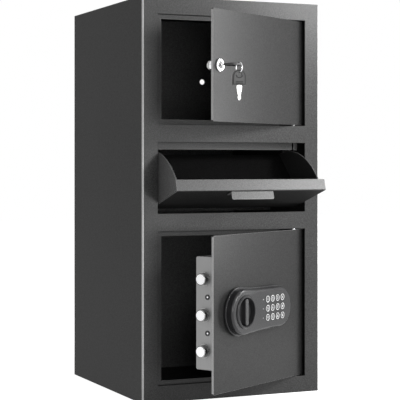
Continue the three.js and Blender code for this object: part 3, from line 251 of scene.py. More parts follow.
@dataclass(frozen=True)
class SandCoat:
    """Powder coat with a fine sand texture under a thin even gloss.

    The gloss is a layer of its own that the texture doesn't bend, so it stays even at a low angle.
    """

    name: str
    colour: Colour
    roughness: float
    gloss: float
    relief: float = 0.00022
    contrast: float = 0.75
    grain: float = 560.0
    lump_scale: float = 0.55
    lump_share: float = 0.4
    drift_scale: float = 9.0
    lightest: float = 0.95
    darkest: float = 0.65
    gloss_index: float = 2.0
    speckle_gain: float = 2.6
    speckle_floor: float = 0.9
    speckle_drift: float = 0.15
    grit_roughness: float = 0.16
    drift_roughness: float = 0.08
    bare_roughness: float = 0.2  # added under the gloss
    roughest: float = 0.95
    bare_shine: float = 0.02
    relief_strength: float = 0.55

    def material(self) -> bpy.types.Material:
        """Builds the coat."""
        made = Recipe(self.name)
        grit = made.noise(self.grain, 3.0)
        lumps = made.cells(self.grain * self.lump_scale)
        height = grit * (1 - self.lump_share) + (1 - lumps) * self.lump_share
        drift = made.noise(self.drift_scale) - 0.5
        light = toned(self.colour, 1 + self.lightest * self.contrast)
        dark = toned(self.colour, 1 - self.darkest * self.contrast)
        speckle = grit * self.speckle_gain - self.speckle_floor + drift * self.speckle_drift
        rough = grit * self.grit_roughness + drift * self.drift_roughness
        rough = rough + (self.roughness + self.bare_roughness)
        return made.finish(
            Base_Color=made.shade(speckle.at_least(0.0).at_most(1.0), dark, light),
            Roughness=rough.at_most(self.roughest),
            Specular_IOR_Level=self.bare_shine,
            Coat_Weight=self.gloss,
            Coat_Roughness=self.roughness,
            Coat_IOR=self.gloss_index,
            Normal=made.bump(height, self.relief, self.relief_strength),
        )


@dataclass(frozen=True)
class Plate:
    """Plated metal with faint polishing lines and a little wear."""

    name: str
    colour: Colour
    roughness: float
    lines: float = 0.03
    wear: float = 0.05
    line_scale: tuple[float, float, float] = (900.0, 900.0, 60.0)
    smudge_scale: float = 70.0
    darkest: float = 0.88
    smoothest: float = 0.03
    relief: float = 0.00001
    relief_strength: float = 0.25

    def material(self) -> bpy.types.Material:
        """Builds the plating."""
        made = Recipe(self.name)
        lines = made.noise(1.0, 3.0, made.stretched(self.line_scale))
        smudge = made.noise(self.smudge_scale, 3.0)
        dark = toned(self.colour, self.darkest)
        rough = lines * self.lines + smudge * self.wear + (self.roughness - self.smoothest)
        return made.finish(
            Base_Color=made.shade(smudge, dark, self.colour),
            Metallic=1.0,
            Roughness=rough.at_least(self.smoothest),
            Normal=made.bump(lines, self.relief, self.relief_strength),
        )


@dataclass(frozen=True)
class Moulding:
    """Moulded plastic with a faint spark-eroded grain."""

    name: str
    colour: Colour
    roughness: float
    specular: float
    coat: float = 0.0
    coat_roughness: float = 0.2
    relief: float = 0.00003
    relief_strength: float = 0.5
    grain_scale: float = 2600.0
    drift_scale: float = 45.0
    lightest: float = 1.18
    unevenness: float = 0.06

    def material(self) -> bpy.types.Material:
        """Builds the plastic."""
        made = Recipe(self.name)
        grain = made.noise(self.grain_scale)
        drift = made.noise(self.drift_scale)
        light = toned(self.colour, self.lightest)
        uneven = self.unevenness
        return made.finish(
            Base_Color=made.shade(drift, self.colour, light),
            Roughness=grain * uneven + drift * uneven + (self.roughness - uneven),
            Specular_IOR_Level=self.specular,
            Coat_Weight=self.coat,
            Coat_Roughness=self.coat_roughness,
            Normal=made.bump(grain, self.relief, self.relief_strength),
        )


@dataclass(frozen=True)
class Ink:
    """Printed numbers and marks."""

    name: str
    colour: Colour
    patch_scale: float = 1500.0
    worn: float = 0.9
    roughness: float = 0.6

    def material(self) -> bpy.types.Material:
        """Builds the print."""
        made = Recipe(self.name)
        patchy = made.noise(self.patch_scale)
        worn = toned(self.colour, self.worn)
        return made.finish(
            Base_Color=made.shade(patchy, worn, self.colour), Roughness=self.roughness,
        )


@dataclass(frozen=True)
class SolderMask:
    """Green lacquer over a circuit board, with copper runs beneath it."""

    name: str
    colour: Colour
    run_scale: float = 260.0
    run_gain: float = 6.0
    run_floor: float = 2.2
    lightest: float = 1.7
    roughness: float = 0.35
    relief: float = 0.00004
    relief_strength: float = 0.6

    def material(self) -> bpy.types.Material:
        """Builds the lacquer."""
        made = Recipe(self.name)
        runs = made.cells(self.run_scale) * self.run_gain - self.run_floor
        runs = runs.at_least(0.0).at_most(1.0)
        light = toned(self.colour, self.lightest)
        return made.finish(
            Base_Color=made.shade(runs, light, self.colour),
            Roughness=self.roughness,
            Normal=made.bump(1 - runs, self.relief, self.relief_strength),
        )


def grey(level: float) -> Colour:
    """An even grey."""
    return level, level, level


class Finish(Enum):
    """The safe's finishes."""

    SHELL = SandCoat("sand_coat", grey(0.031), 0.32, 0.145)
    DOOR = SandCoat("sand_coat_door", grey(0.018), 0.26, 0.185)
    # A lighter coat on rounded edges: a painted highlight
    EDGE = SandCoat("sand_coat_edge", grey(0.24), 0.35, 0.25, relief=0.00005, contrast=0.2)
    # A much lighter coat for the middle of the cabinet's upright bends: a painted highlight
    BEND = SandCoat("sand_coat_bend", grey(0.62), 0.35, 0.3, relief=0.00005, contrast=0.15)
    # A lighter coat for the doors' free edges: a painted highlight
    RIM = SandCoat("sand_coat_rim", grey(0.5), 0.35, 0.3, relief=0.00005, contrast=0.15)
    # The hopper's front flange and handle in a lighter, glossier coat: painted light
    FLANGE = SandCoat("sand_coat_flange", grey(0.06), 0.34, 0.22, contrast=0.4)
    # The hopper's left cheek outside in a lighter coat: painted light
    CHEEK = SandCoat("sand_coat_cheek", grey(0.15), 0.4, 0.22, contrast=0.4)
    # The hopper panel's underside in a darker coat: painted shade
    UNDER = SandCoat("sand_coat_panel", grey(0.02), 0.45, 0.05)
    # The hopper's inside and rear plate in a near-black coat: painted shade
    SHADE = SandCoat("sand_coat_matt", grey(0.006), 0.6, 0.015)
    # The shelf, the baffle and the back panel's inner face in a lighter coat: painted light inside
    # the cabinet
    INSIDE = SandCoat("sand_coat_inside", grey(0.11), 0.5, 0.12, contrast=0.4)
    BOX = Plate("box_plate", grey(0.28), 0.38, lines=0.12, wear=0.14)
    CHROME = Plate("chrome_plate", (0.86, 0.86, 0.87), 0.09)
    BOLT_STEEL = Plate("bolt_plate", grey(0.3), 0.16, lines=0.08)
    PLUG_STEEL = Plate("plug_plate", grey(0.1), 0.3, lines=0.1)
    KEY_STEEL = Plate("key_plate", (0.72, 0.72, 0.71), 0.2, lines=0.08)
    ZINC = Plate("zinc_plate", (0.55, 0.55, 0.54), 0.34, lines=0.1, wear=0.12)
    KEYPAD = Moulding("keypad_plastic", (0.016, 0.016, 0.017), 0.24, 0.31)
    KNOB = Moulding("knob_plastic", (0.016, 0.016, 0.017), 0.38, 0.4)
    KEY_HEAD = Moulding("key_plastic", grey(0.012), 0.36, 0.6)
    # Darker, matt raised lines on the key heads: painted shade along their outlines
    KEY_BEAD = Moulding("key_bead_plastic", grey(0.004), 0.6, 0.08)
    BUTTON = Moulding("button_plastic", (0.022, 0.022, 0.024), 0.5, 0.4)
    BATTERY = Moulding("battery_plastic", grey(0.03), 0.6, 0.4)
    LENS = Moulding("lamp_lens", grey(0.24), 0.25, 0.6, coat=0.5)
    BOARD = SolderMask("solder_mask", (0.015, 0.07, 0.03))
    WHITE_INK = Ink("white_ink", grey(0.85))


# Finishes of rounded edges, lighter than the piece's own: a painted highlight along the coat's
# edges and the box's folds
EDGES = {
    Finish.SHELL: Finish.EDGE,
    Finish.DOOR: Finish.EDGE,
    Finish.FLANGE: Finish.EDGE,
    Finish.BOX: Finish.ZINC,
}


class Paints:
    """Makes each finish once and hands it out."""

    def __init__(self) -> None:
        """Starts with no paint mixed."""
        self._made: dict[Finish, bpy.types.Material] = {}

    def __call__(self, finish: Finish) -> bpy.types.Material:
        """The material of a finish."""
        if finish not in self._made:
            self._made[finish] = finish.value.material()
        return self._made[finish]


# ---- Shapes


def new_object(name: str, data: bpy.types.ID) -> bpy.types.Object:
    """Puts a mesh, curve, lamp or camera in the scene as an object at the origin."""
    made = bpy.data.objects.new(name, data)
    bpy.context.scene.collection.objects.link(made)
    return made


def settle(source: bpy.types.Object) -> bpy.types.Mesh:
    """The plain mesh that an object's modifiers make.

    Args:
        source: an object with live modifiers, which is removed.

    Returns:
        Its evaluated mesh.
    """
    graph = bpy.context.evaluated_depsgraph_get()
    graph.update()
    mesh = bpy.data.meshes.new_from_object(source.evaluated_get(graph), depsgraph=graph)
    source.modifiers.clear()
    bpy.data.objects.remove(source)
    return mesh


def turned_mesh(
    name: str, profile: Sequence[tuple[float, float]], place: Matrix, sides: int,
) -> bpy.types.Mesh:
    """A profile turned about its own Z axis.

    Args:
        name: the mesh's name.
        profile: (radius, height) points from one end of the axis to the other.
        place: where the piece goes.
        sides: steps round the axis.

    Returns:
        A closed mesh whose faces point out.
    """
    shape = bmesh.new()
    rings = []
    for radius, height in profile:
        count = 1 if radius == 0 else sides
        rings.append([
            shape.verts.new((
                radius * math.cos(math.tau * i / sides),
                radius * math.sin(math.tau * i / sides),
                height,
            ))
            for i in range(count)
        ])
    for low, high in zip(rings, rings[1:]):
        for i in range(sides):
            k = (i + 1) % sides
            corners = ((low, i), (low, k), (high, k), (high, i))
            shape.faces.new(dict.fromkeys(ring[n % len(ring)] for ring, n in corners))
    if len(rings[0]) > 1 and profile[0] == profile[-1]:
        bmesh.ops.remove_doubles(shape, verts=shape.verts, dist=1e-7)
    shape.transform(place)
    bmesh.ops.recalc_face_normals(shape, faces=shape.faces)
    mesh = bpy.data.meshes.new(name)
    shape.to_mesh(mesh)
    shape.free()
    smooth(mesh)
    return mesh


def smooth(mesh: bpy.types.Mesh, angle: float = 32.0) -> None:
    """Shades a mesh smooth, apart from edges sharper than an angle in degrees."""
    mesh.shade_smooth()
    mesh.set_sharp_from_angle(angle=math.radians(angle))


def wrap_side(normal: Vector) -> int:
    """The middle of the cabinet's upright bends gets a much lighter coat, a painted highlight."""
    return 2 if min(abs(normal.x), abs(normal.y)) > BEND_MIDDLE and abs(normal.z) < FLAT else 0


def back_side(normal: Vector) -> int:
    """The back panel's inner face is as the other inner faces: a lighter coat, painted light inside
    the cabinet.
    """
    return 2 if normal.y < -STEEP else 0


def door_side(normal: Vector) -> int:
    """The free edge of an open door gets a lighter coat, a painted highlight."""
    return 2 if normal.x < -FREE_EDGE and abs(normal.z) < FLAT else 0


def hopper_side(normal: Vector) -> int:
    """The hopper's panel is matt and painted near black inside and, less so, darker outside, as
    painted shade; its front flange has more gloss and is painted lighter, as painted light.
    """
    if abs(normal.z) > STEEP:
        return 2 if normal.z > 0 else 4
    return 3 if normal.y < -STEEP else 0


def cheek_side(normal: Vector) -> int:
    """The left cheek's outside, which faces the side light, gets a lighter coat: painted light."""
    return 2 if normal.x < -STEEP else 0


@dataclass
class Frame:
    """A sub-assembly's own frame, in which it is drawn shut, and where it stands at rest."""

    body: str
    place: Matrix = field(default_factory=Matrix)

    @classmethod
    def of_joint(cls, body: str, joint: dict[str, Any]) -> Frame:
        """The frame of a body that stands open at rest and shuts at its joint's lower limit.

        Args:
            body: the CAD body.
            joint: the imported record's joint.

        Returns:
            The frame.
        """
        pivot = Vector(joint["pos_m"])
        turn = Matrix.Rotation(-math.radians(joint["range_deg"][0]), 4, Vector(joint["axis"]))
        return cls(body, Matrix.Translation(pivot) @ turn @ Matrix.Translation(-pivot))

    def on(self, body: str) -> Frame:
        """The same place, for a piece that rides on another body."""
        return Frame(body, self.place)

    def box(self, node: str) -> tuple[Vector, Vector]:
        """The lowest and highest corner of a CAD node, drawn shut."""
        back = self.place.inverted()
        source = bpy.data.objects[node].data.vertices
        corners = [back @ vertex.co for vertex in source]
        low = Vector([min(c[i] for c in corners) for i in range(3)])
        high = Vector([max(c[i] for c in corners) for i in range(3)])
        return low, high

    def at(self, x: float, y: float, z: float, turn: Matrix | None = None) -> Matrix:
        """Where a small piece drawn at its own origin goes."""
        return self.place @ Matrix.Translation((x, y, z)) @ (turn or Matrix())


FACING_FRONT = Matrix.Rotation(math.radians(90), 4, "X")
FACING_RIGHT = Matrix.Rotation(math.radians(90), 4, "Y")


@dataclass
class Bench:
    """Finishes pieces: gives them a material, and rides them on their body."""

    paints: Paints
    weld: float = 0.005 * MM  # corners nearer than this become one
    ripple: float = 0.6  # degrees: faces that bend less than this become one
    least_corner: float = 8.0  # degrees past the smoothing angle from which an edge is rounded

    def hand_over(
        self, name: str, mesh: bpy.types.Mesh, finish: Finish, body: str,
        stands_for: str | None = None, others: Sequence[Finish] = (),
    ) -> None:
        """Dresses a finished mesh and rides it on its body.

        Args:
            name: the piece's name.
            mesh: its mesh, in place.
            finish: its finish.
            body: the CAD body that it moves with.
            stands_for: a CAD node that it replaces.
            others: finishes of its faces of material 1 and up.
        """
        worn = [0] * len(mesh.polygons)
        if others:
            mesh.polygons.foreach_get("material_index", worn)
        mesh.materials.clear()
        for each in (finish, *others):
            mesh.materials.append(self.paints(each))
        mesh.polygons.foreach_set("material_index", worn)
        piece = new_object(name, mesh)
        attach(piece, body)
        if stands_for:
            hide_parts(stands_for)
        log.info("%s: %d faces, %s, on %s", name, len(mesh.polygons), finish.value.name, body)

    def carry(self, node: str, finish: Finish) -> None:
        """Gives a CAD node its finish and leaves its shape alone."""
        source = bpy.data.objects[node]
        source.data.materials.clear()
        source.data.materials.append(self.paints(finish))

    def soften(
        self, node: str, finish: Finish, body: str, radius: float = 0.0, steps: int = 2,
        angle: float = 32.0, side: Callable[[Vector], int] | None = None,
        more: Sequence[Finish] = (), bright: bool = True,
    ) -> None:
        """A copy of a CAD node with smooth shading and its sharp edges rounded.

        Args:
            node: the CAD node, which the copy replaces.
            finish: its finish.
            body: the CAD body that it moves with.
            radius: width of the rounding, or 0 for none.
            steps: faces across the rounding.
            angle: edges flatter than this, in degrees, are smoothed over.
            side: which finish a face has, by its normal. 0 is the piece's own and 1 its edges',
                which for the coats and the box is lighter, a painted highlight.
            more: finishes 2 and up.
            bright: whether the rounding has the edges' finish, the painted highlight where there is
                one.
        """
        mesh = bpy.data.objects[node].data.copy()
        shape = bmesh.new()
        shape.from_mesh(mesh)
        bmesh.ops.remove_doubles(shape, verts=shape.verts, dist=self.weld)
        bmesh.ops.dissolve_limit(
            shape, angle_limit=math.radians(self.ripple), use_dissolve_boundaries=False,
            verts=shape.verts, edges=shape.edges,
        )
        shape.to_mesh(mesh)
        shape.free()
        smooth(mesh, angle)
        others = (EDGES.get(finish, finish), *more)
        mesh.materials.clear()
        for each in (finish, *others):
            mesh.materials.append(self.paints(each))
        for face in mesh.polygons:
            face.material_index = side(face.normal) if side else 0
        source = new_object(node + "_rounding", mesh)
        if radius:
            rounding = source.modifiers.new("rounding", "BEVEL")
            rounding.width = radius
            rounding.segments = steps
            rounding.limit_method = "ANGLE"
            rounding.angle_limit = math.radians(angle + self.least_corner)
            rounding.harden_normals = True
            rounding.material = 1 if bright else 0
        levelling = source.modifiers.new("levelling", "WEIGHTED_NORMAL")
        levelling.weight = 100
        levelling.keep_sharp = True
        self.hand_over(node + "_dressed", settle(source), finish, body, node, others)


# ---- Repeated pieces


class Pattern(Graph):
    """A geometry node tree that puts a small piece on each point of a mesh."""

    def __init__(self, name: str, sizes: dict[str, float]) -> None:
        """Starts a tree with named sizes.

        Args:
            name: the tree's name.
            sizes: its inputs, in metres, and their usual values.
        """
        super().__init__(bpy.data.node_groups.new(name, "GeometryNodeTree"))
        face = self.tree.interface
        face.new_socket("Geometry", in_out="INPUT", socket_type="NodeSocketGeometry")
        for label, usual in sizes.items():
            socket = face.new_socket(label, in_out="INPUT", socket_type="NodeSocketFloat")
            socket.default_value = usual
        face.new_socket("Material", in_out="INPUT", socket_type="NodeSocketMaterial")
        face.new_socket("Geometry", in_out="OUTPUT", socket_type="NodeSocketGeometry")
        self.entry = self.add("NodeGroupInput")
        self.exit = self.add("NodeGroupOutput")

    def size(self, label: str) -> Field:
        """One of the tree's sizes."""
        return Field(self, self.entry.outputs[label])

    def lifted(self, piece: bpy.types.NodeSocket, height: Field) -> bpy.types.NodeSocket:
        """A piece moved along its own Z."""
        up = self.out("ShaderNodeCombineXYZ", {"Z": height})
        return self.out("GeometryNodeTransform", {"Geometry": piece, "Translation": up})

    def close(self, piece: bpy.types.NodeSocket) -> None:
        """Puts the piece on each point, turned to the point's facing, and ends the tree."""
        named = "GeometryNodeInputNamedAttribute"
        facing = self.out(named, {"Name": "facing"}, data_type="FLOAT_VECTOR")
        turn = self.out("FunctionNodeAlignRotationToVector", {"Vector": facing}, axis="Z")
        placed = self.out("GeometryNodeInstanceOnPoints", {
            "Points": self.entry.outputs["Geometry"], "Instance": piece, "Rotation": turn,
        })
        real = self.out("GeometryNodeRealizeInstances", {"Geometry": placed})
        dressed = self.out("GeometryNodeSetMaterial", {
            "Geometry": real, "Material": self.entry.outputs["Material"],
        })
        self.feed(self.exit.inputs[0], dressed)

    def lay(
        self, name: str, points: Sequence[Vector], facing: Sequence[Vector],
        material: bpy.types.Material, sizes: dict[str, float],
    ) -> bpy.types.Mesh:
        """Makes the tree's pieces as one plain mesh.

        Args:
            name: the mesh's name.
            points: where the pieces go.
            facing: which way each one faces.
            material: their material.
            sizes: inputs that differ from the usual values.

        Returns:
            The mesh.
        """
        seeds = bpy.data.meshes.new(name)
        seeds.from_pydata([tuple(p) for p in points], [], [])
        attribute = seeds.attributes.new("facing", "FLOAT_VECTOR", "POINT")
        attribute.data.foreach_set("vector", [c for f in facing for c in f])
        source = new_object(name + "_seeds", seeds)
        maker = source.modifiers.new("pieces", "NODES")
        maker.node_group = self.tree
        values = {**sizes, "Material": material}
        for item in self.tree.interface.items_tree:
            if item.in_out == "INPUT" and item.name in values:
                maker[item.identifier] = values[item.name]
        mesh = settle(source)
        smooth(mesh)
        return mesh


class ScrewPattern(Pattern):
    """Pan-head screws with a cross recess."""

    sides = 24
    steps = ((0.55, 0.97), (0.25, 0.87), (0.2, 0.66))  # shares of the height and their narrowing
    recess_span = 0.56  # share of the diameter
    recess_depth = 0.9  # share of the height
    recess_middle = 0.95

    def __init__(self) -> None:
        """Builds the tree."""
        super().__init__("pan_head_screws", {
            "Diameter": 8 * MM, "Height": 2.6 * MM, "Recess": 1.1 * MM, "Sink": 0.3 * MM,
        })
        diameter, height = self.size("Diameter"), self.size("Height")
        round_plate = {"Vertices": self.sides, "Radius": diameter * 0.5}
        head = self.out("GeometryNodeMeshCircle", round_plate, fill_type="NGON")
        head = self.lifted(head, self.size("Sink") * -1.0)
        for share, narrowing in self.steps:
            inputs = {"Mesh": head, "Offset Scale": height * share}
            grown = self.add("GeometryNodeExtrudeMesh", None, inputs).outputs
            head = self.out("GeometryNodeScaleElements", {
                "Geometry": grown["Mesh"], "Selection": grown["Top"], "Scale": narrowing,
            })
        cut = {"operation": "DIFFERENCE"}
        recessed = self.add("GeometryNodeMeshBoolean", cut, {"Mesh 1": head})
        long, short = diameter * self.recess_span, self.size("Recess")
        deep, middle = height * self.recess_depth, height * self.recess_middle
        for width, depth in ((long, short), (short, long)):
            size = self.out("ShaderNodeCombineXYZ", {"X": width, "Y": depth, "Z": deep})
            bar = self.out("GeometryNodeMeshCube", {"Size": size})
            self.feed(recessed.inputs[1], self.lifted(bar, middle))
        self.close(recessed.outputs[0])


class RivetPattern(Pattern):
    """Domed rivets and weld spots."""

    def __init__(self) -> None:
        """Builds the tree."""
        super().__init__("domed_rivets", {"Diameter": 7 * MM, "Height": 1.6 * MM})
        dome = self.out("GeometryNodeMeshUVSphere", {
            "Segments": 24, "Rings": 12, "Radius": self.size("Diameter") * 0.5,
        })
        flatness = self.size("Height") * 2.0 * (self.size("Diameter") ** -1.0)
        shape = self.out("ShaderNodeCombineXYZ", {"X": 1.0, "Y": 1.0, "Z": flatness})
        self.close(self.out("GeometryNodeTransform", {"Geometry": dome, "Scale": shape}))


class RingPattern(Pattern):
    """Flat printed rings."""

    def __init__(self) -> None:
        """Builds the tree."""
        super().__init__("printed_rings", {
            "Radius": 4.6 * MM, "Line": 0.9 * MM, "Thickness": 0.3 * MM,
        })
        path = self.out("GeometryNodeCurvePrimitiveCircle", {
            "Resolution": 40, "Radius": self.size("Radius"),
        })
        section = self.out("GeometryNodeCurvePrimitiveQuadrilateral", {
            "Width": self.size("Line"), "Height": self.size("Thickness"),
        })
        self.close(self.out("GeometryNodeCurveToMesh", {"Curve": path, "Profile Curve": section}))


@dataclass
class Fixings:
    """The geometry node trees of the repeated pieces."""

    bench: Bench
    screws: ScrewPattern = field(default_factory=ScrewPattern)
    rivets: RivetPattern = field(default_factory=RivetPattern)
    rings: RingPattern = field(default_factory=RingPattern)

    def put(
        self, pattern: Pattern, name: str, frame: Frame, places: Iterable[Vector], facing: Vector,
        finish: Finish, **sizes: float,
    ) -> None:
        """Lays a pattern's pieces on one body.

        Args:
            pattern: the tree.
            name: the piece's name.
            frame: the sub-assembly's frame and body.
            places: where they go, drawn shut.
            facing: which way they face, drawn shut.
            finish: their finish.
            **sizes: tree inputs that differ from the usual values.
        """
        points = [frame.place @ p for p in places]
        way = frame.place.to_3x3() @ facing
        named = {label.capitalize(): value for label, value in sizes.items()}
        mesh = pattern.lay(name, points, [way] * len(points), self.bench.paints(finish), named)
        self.bench.hand_over(name, mesh, finish, frame.body)


def letters(
    text: str, height: float, thickness: float, place: Matrix, weight: float,
) -> bpy.types.Mesh:
    """Text as a mesh, centred on its place and facing its place's Z.

    Args:
        text: what it says.
        height: of a capital.
        thickness: how far it stands through its place, half to each side.
        place: where it goes.
        weight: how much bolder than the plain face, in metres.

    Returns:
        The mesh.
    """
    curve = bpy.data.curves.new("letters_" + text, "FONT")
    curve.body = text
    curve.size = height * FONT_SIZE
    curve.extrude = thickness / 2
    curve.offset = weight
    curve.resolution_u = 6
    mesh = settle(new_object("letters", curve))
    spans = [[v.co[i] for v in mesh.vertices] for i in range(2)]
    x, y = ((min(span) + max(span)) / 2 for span in spans)
    mesh.transform(place @ Matrix.Translation((-x, -y, 0)))
    return mesh


def joined(name: str, meshes: Sequence[bpy.types.Mesh]) -> bpy.types.Mesh:
    """Several meshes as one."""
    shape = bmesh.new()
    for mesh in meshes:
        shape.from_mesh(mesh)
    made = bpy.data.meshes.new(name)
    shape.to_mesh(made)
    shape.free()
    return made


def raised_bar(size: Sequence[float], chamfer: float, place: Matrix) -> bpy.types.Mesh:
    """A block with chamfered edges, centred on its place."""
    shape = bmesh.new()
    bmesh.ops.create_cube(shape, size=1.0, matrix=Matrix.Diagonal((*size, 1)))
    bmesh.ops.bevel(
        shape, geom=shape.edges[:], offset=chamfer, segments=1, affect="EDGES", profile=0.5,
    )
    shape.transform(place)
    mesh = bpy.data.meshes.new("bar")
    shape.to_mesh(mesh)
    shape.free()
    smooth(mesh)
    return mesh


# ---- The safe


@dataclass
class Cabinet:
    """The welded body, its shelf, stops, lugs and brackets."""

    bench: Bench
    fixings: Fixings
    edge: float = 0.5 * MM
    sheet: float = 2 * MM
    rivet: float = 6 * MM
    rivet_inset: float = 9 * MM
    body: str = "cabinet"

    def shell(self) -> None:
        """The painted outside."""
        # The middle of the upright bends gets a painted highlight; the rounding at the openings
        # does not.
        self.bench.soften(
            "cabinet_wrap", Finish.SHELL, self.body, self.edge, angle=24, side=wrap_side,
            more=(Finish.BEND,), bright=False,
        )
        # The back panel's inner face takes the lighter inner coat: painted light.
        self.bench.soften(
            "back_panel", Finish.SHELL, self.body, self.edge, angle=24, side=back_side,
            more=(Finish.INSIDE,), bright=False,
        )
        for node in ("top_panel", "bottom_panel"):
            self.bench.soften(node, Finish.SHELL, self.body, self.edge, angle=24)

    def inside(self) -> None:
        """The shelf, the baffle, the stops and the hinge lugs."""
        # The shelf and baffle in the lighter inner coat: painted light.
        for node in ("upper_shelf", "drop_baffle"):
            self.bench.soften(node, Finish.INSIDE, self.body, self.edge)
        for node in ("upper_stop_frame", "lower_stop_frame", "hopper_stop_lip"):
            self.bench.soften(node, Finish.SHELL, self.body, 0.4 * MM)
        for node in (
            "upper_hinge_lug_top", "upper_hinge_lug_bottom", "lower_hinge_lug_top",
            "lower_hinge_lug_bottom", "hopper_bracket_left", "hopper_bracket_right",
        ):
            self.bench.soften(node, Finish.SHELL, self.body, 0.3 * MM)

    def rivets(self) -> None:
        """Weld spots on the hopper brackets' flanges."""
        places = []
        inset = self.rivet_inset
        for node, inward in (("hopper_bracket_left", 1), ("hopper_bracket_right", -1)):
            low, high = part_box(node)
            x = (low if inward > 0 else high).x + inward * inset
            places += [Vector((x, low.y + self.sheet, low.z + n * inset)) for n in (1, 4)]
        self.fixings.put(
            self.fixings.rivets, "bracket_rivets", Frame(self.body), places, Vector((0, 1, 0)),
            Finish.SHELL, diameter=self.rivet, height=1.4 * MM,
        )

    def build(self) -> None:
        """Dresses the body."""
        self.shell()
        self.inside()
        self.rivets()


@dataclass
class Hopper:
    """The tilting deposit drawer."""

    bench: Bench
    fixings: Fixings
    frame: Frame
    edge: float = 0.5 * MM
    rivet: float = 6 * MM
    rivet_reach: float = 0.36  # share of the handle's width
    flange: float = 2 * MM

    def build(self) -> None:
        """Dresses the drawer."""
        body = self.frame.body
        # Painted shade inside and under the panel, painted light on its front flange.
        self.bench.soften(
            "hopper_front_panel", Finish.SHELL, body, 0.6 * MM,
            side=hopper_side, more=(Finish.SHADE, Finish.FLANGE, Finish.UNDER),
        )
        # The left cheek's outside is painted lighter: painted light.
        self.bench.soften(
            "hopper_cheek_left", Finish.SHELL, body, self.edge,
            side=cheek_side, more=(Finish.CHEEK,),
        )
        for node, finish in (
            ("hopper_cheek_right", Finish.SHELL),
            # near black: painted shade
            ("hopper_rear_plate", Finish.SHADE),
            # lighter: painted light
            ("hopper_handle", Finish.FLANGE),
        ):
            self.bench.soften(node, finish, body, self.edge)
        self.rivets()

    def rivets(self) -> None:
        """Two rivets through the handle's flange."""
        low, high = self.frame.box("hopper_handle")
        middle = (low.x + high.x) / 2
        reach = (high.x - low.x) * self.rivet_reach
        y, z = high.y - self.flange, low.z + self.rivet
        places = [Vector((middle + side * reach, y, z)) for side in (-1, 1)]
        self.fixings.put(
            self.fixings.rivets, "handle_rivets", self.frame, places, Vector((0, -1, 0)),
            Finish.SHELL, diameter=self.rivet, height=1.3 * MM,
        )


@dataclass
class HeadSize:
    """A key's moulded head and the raised lines on it."""

    width: float = 22 * MM
    length: float = 25.4 * MM
    thick: float = 3.4 * MM
    hole_inset: float = 7.3 * MM
    bead: float = 0.9 * MM
    bead_inset: float = 1.3 * MM
    bead_height: float = 0.45 * MM
    bead_chamfer: float = 0.1 * MM
    arc_steps: int = 16
    bow: float = 6.2 * MM
    panel: float = 12 * MM
    panel_lines: tuple[float, float] = (3.12 * MM, 5.46 * MM)

    def lines(self, gap: int) -> list[list[tuple[float, float]]]:
        """The raised lines of a face, from the blade end's middle, with +Y to the round end.

        Args:
            gap: steps of the round end left out to each side of its middle.

        Returns:
            The outline's two parts, the bow round the hole, and two short lines across.
        """
        half, straight = self.width / 2 - self.bead_inset, self.length - self.width / 2
        outline = [(-half, self.bead_inset), (-half, straight)]
        for i in range(1, self.arc_steps):
            angle = math.pi * i / self.arc_steps
            outline.append((-half * math.cos(angle), straight + half * math.sin(angle)))
        outline += [(half, straight), (half, self.bead_inset), (-half, self.bead_inset)]
        crown = 1 + self.arc_steps // 2
        bow = [
            (self.bow * math.cos(a), self.length - self.hole_inset + self.bow * math.sin(a))
            for a in (math.radians(200 + 14 * i) for i in range(11))
        ]
        across = [[(-self.panel / 2, y), (self.panel / 2, y)] for y in self.panel_lines]
        return [outline[: crown - gap + 1], outline[crown + gap :], bow, *across]


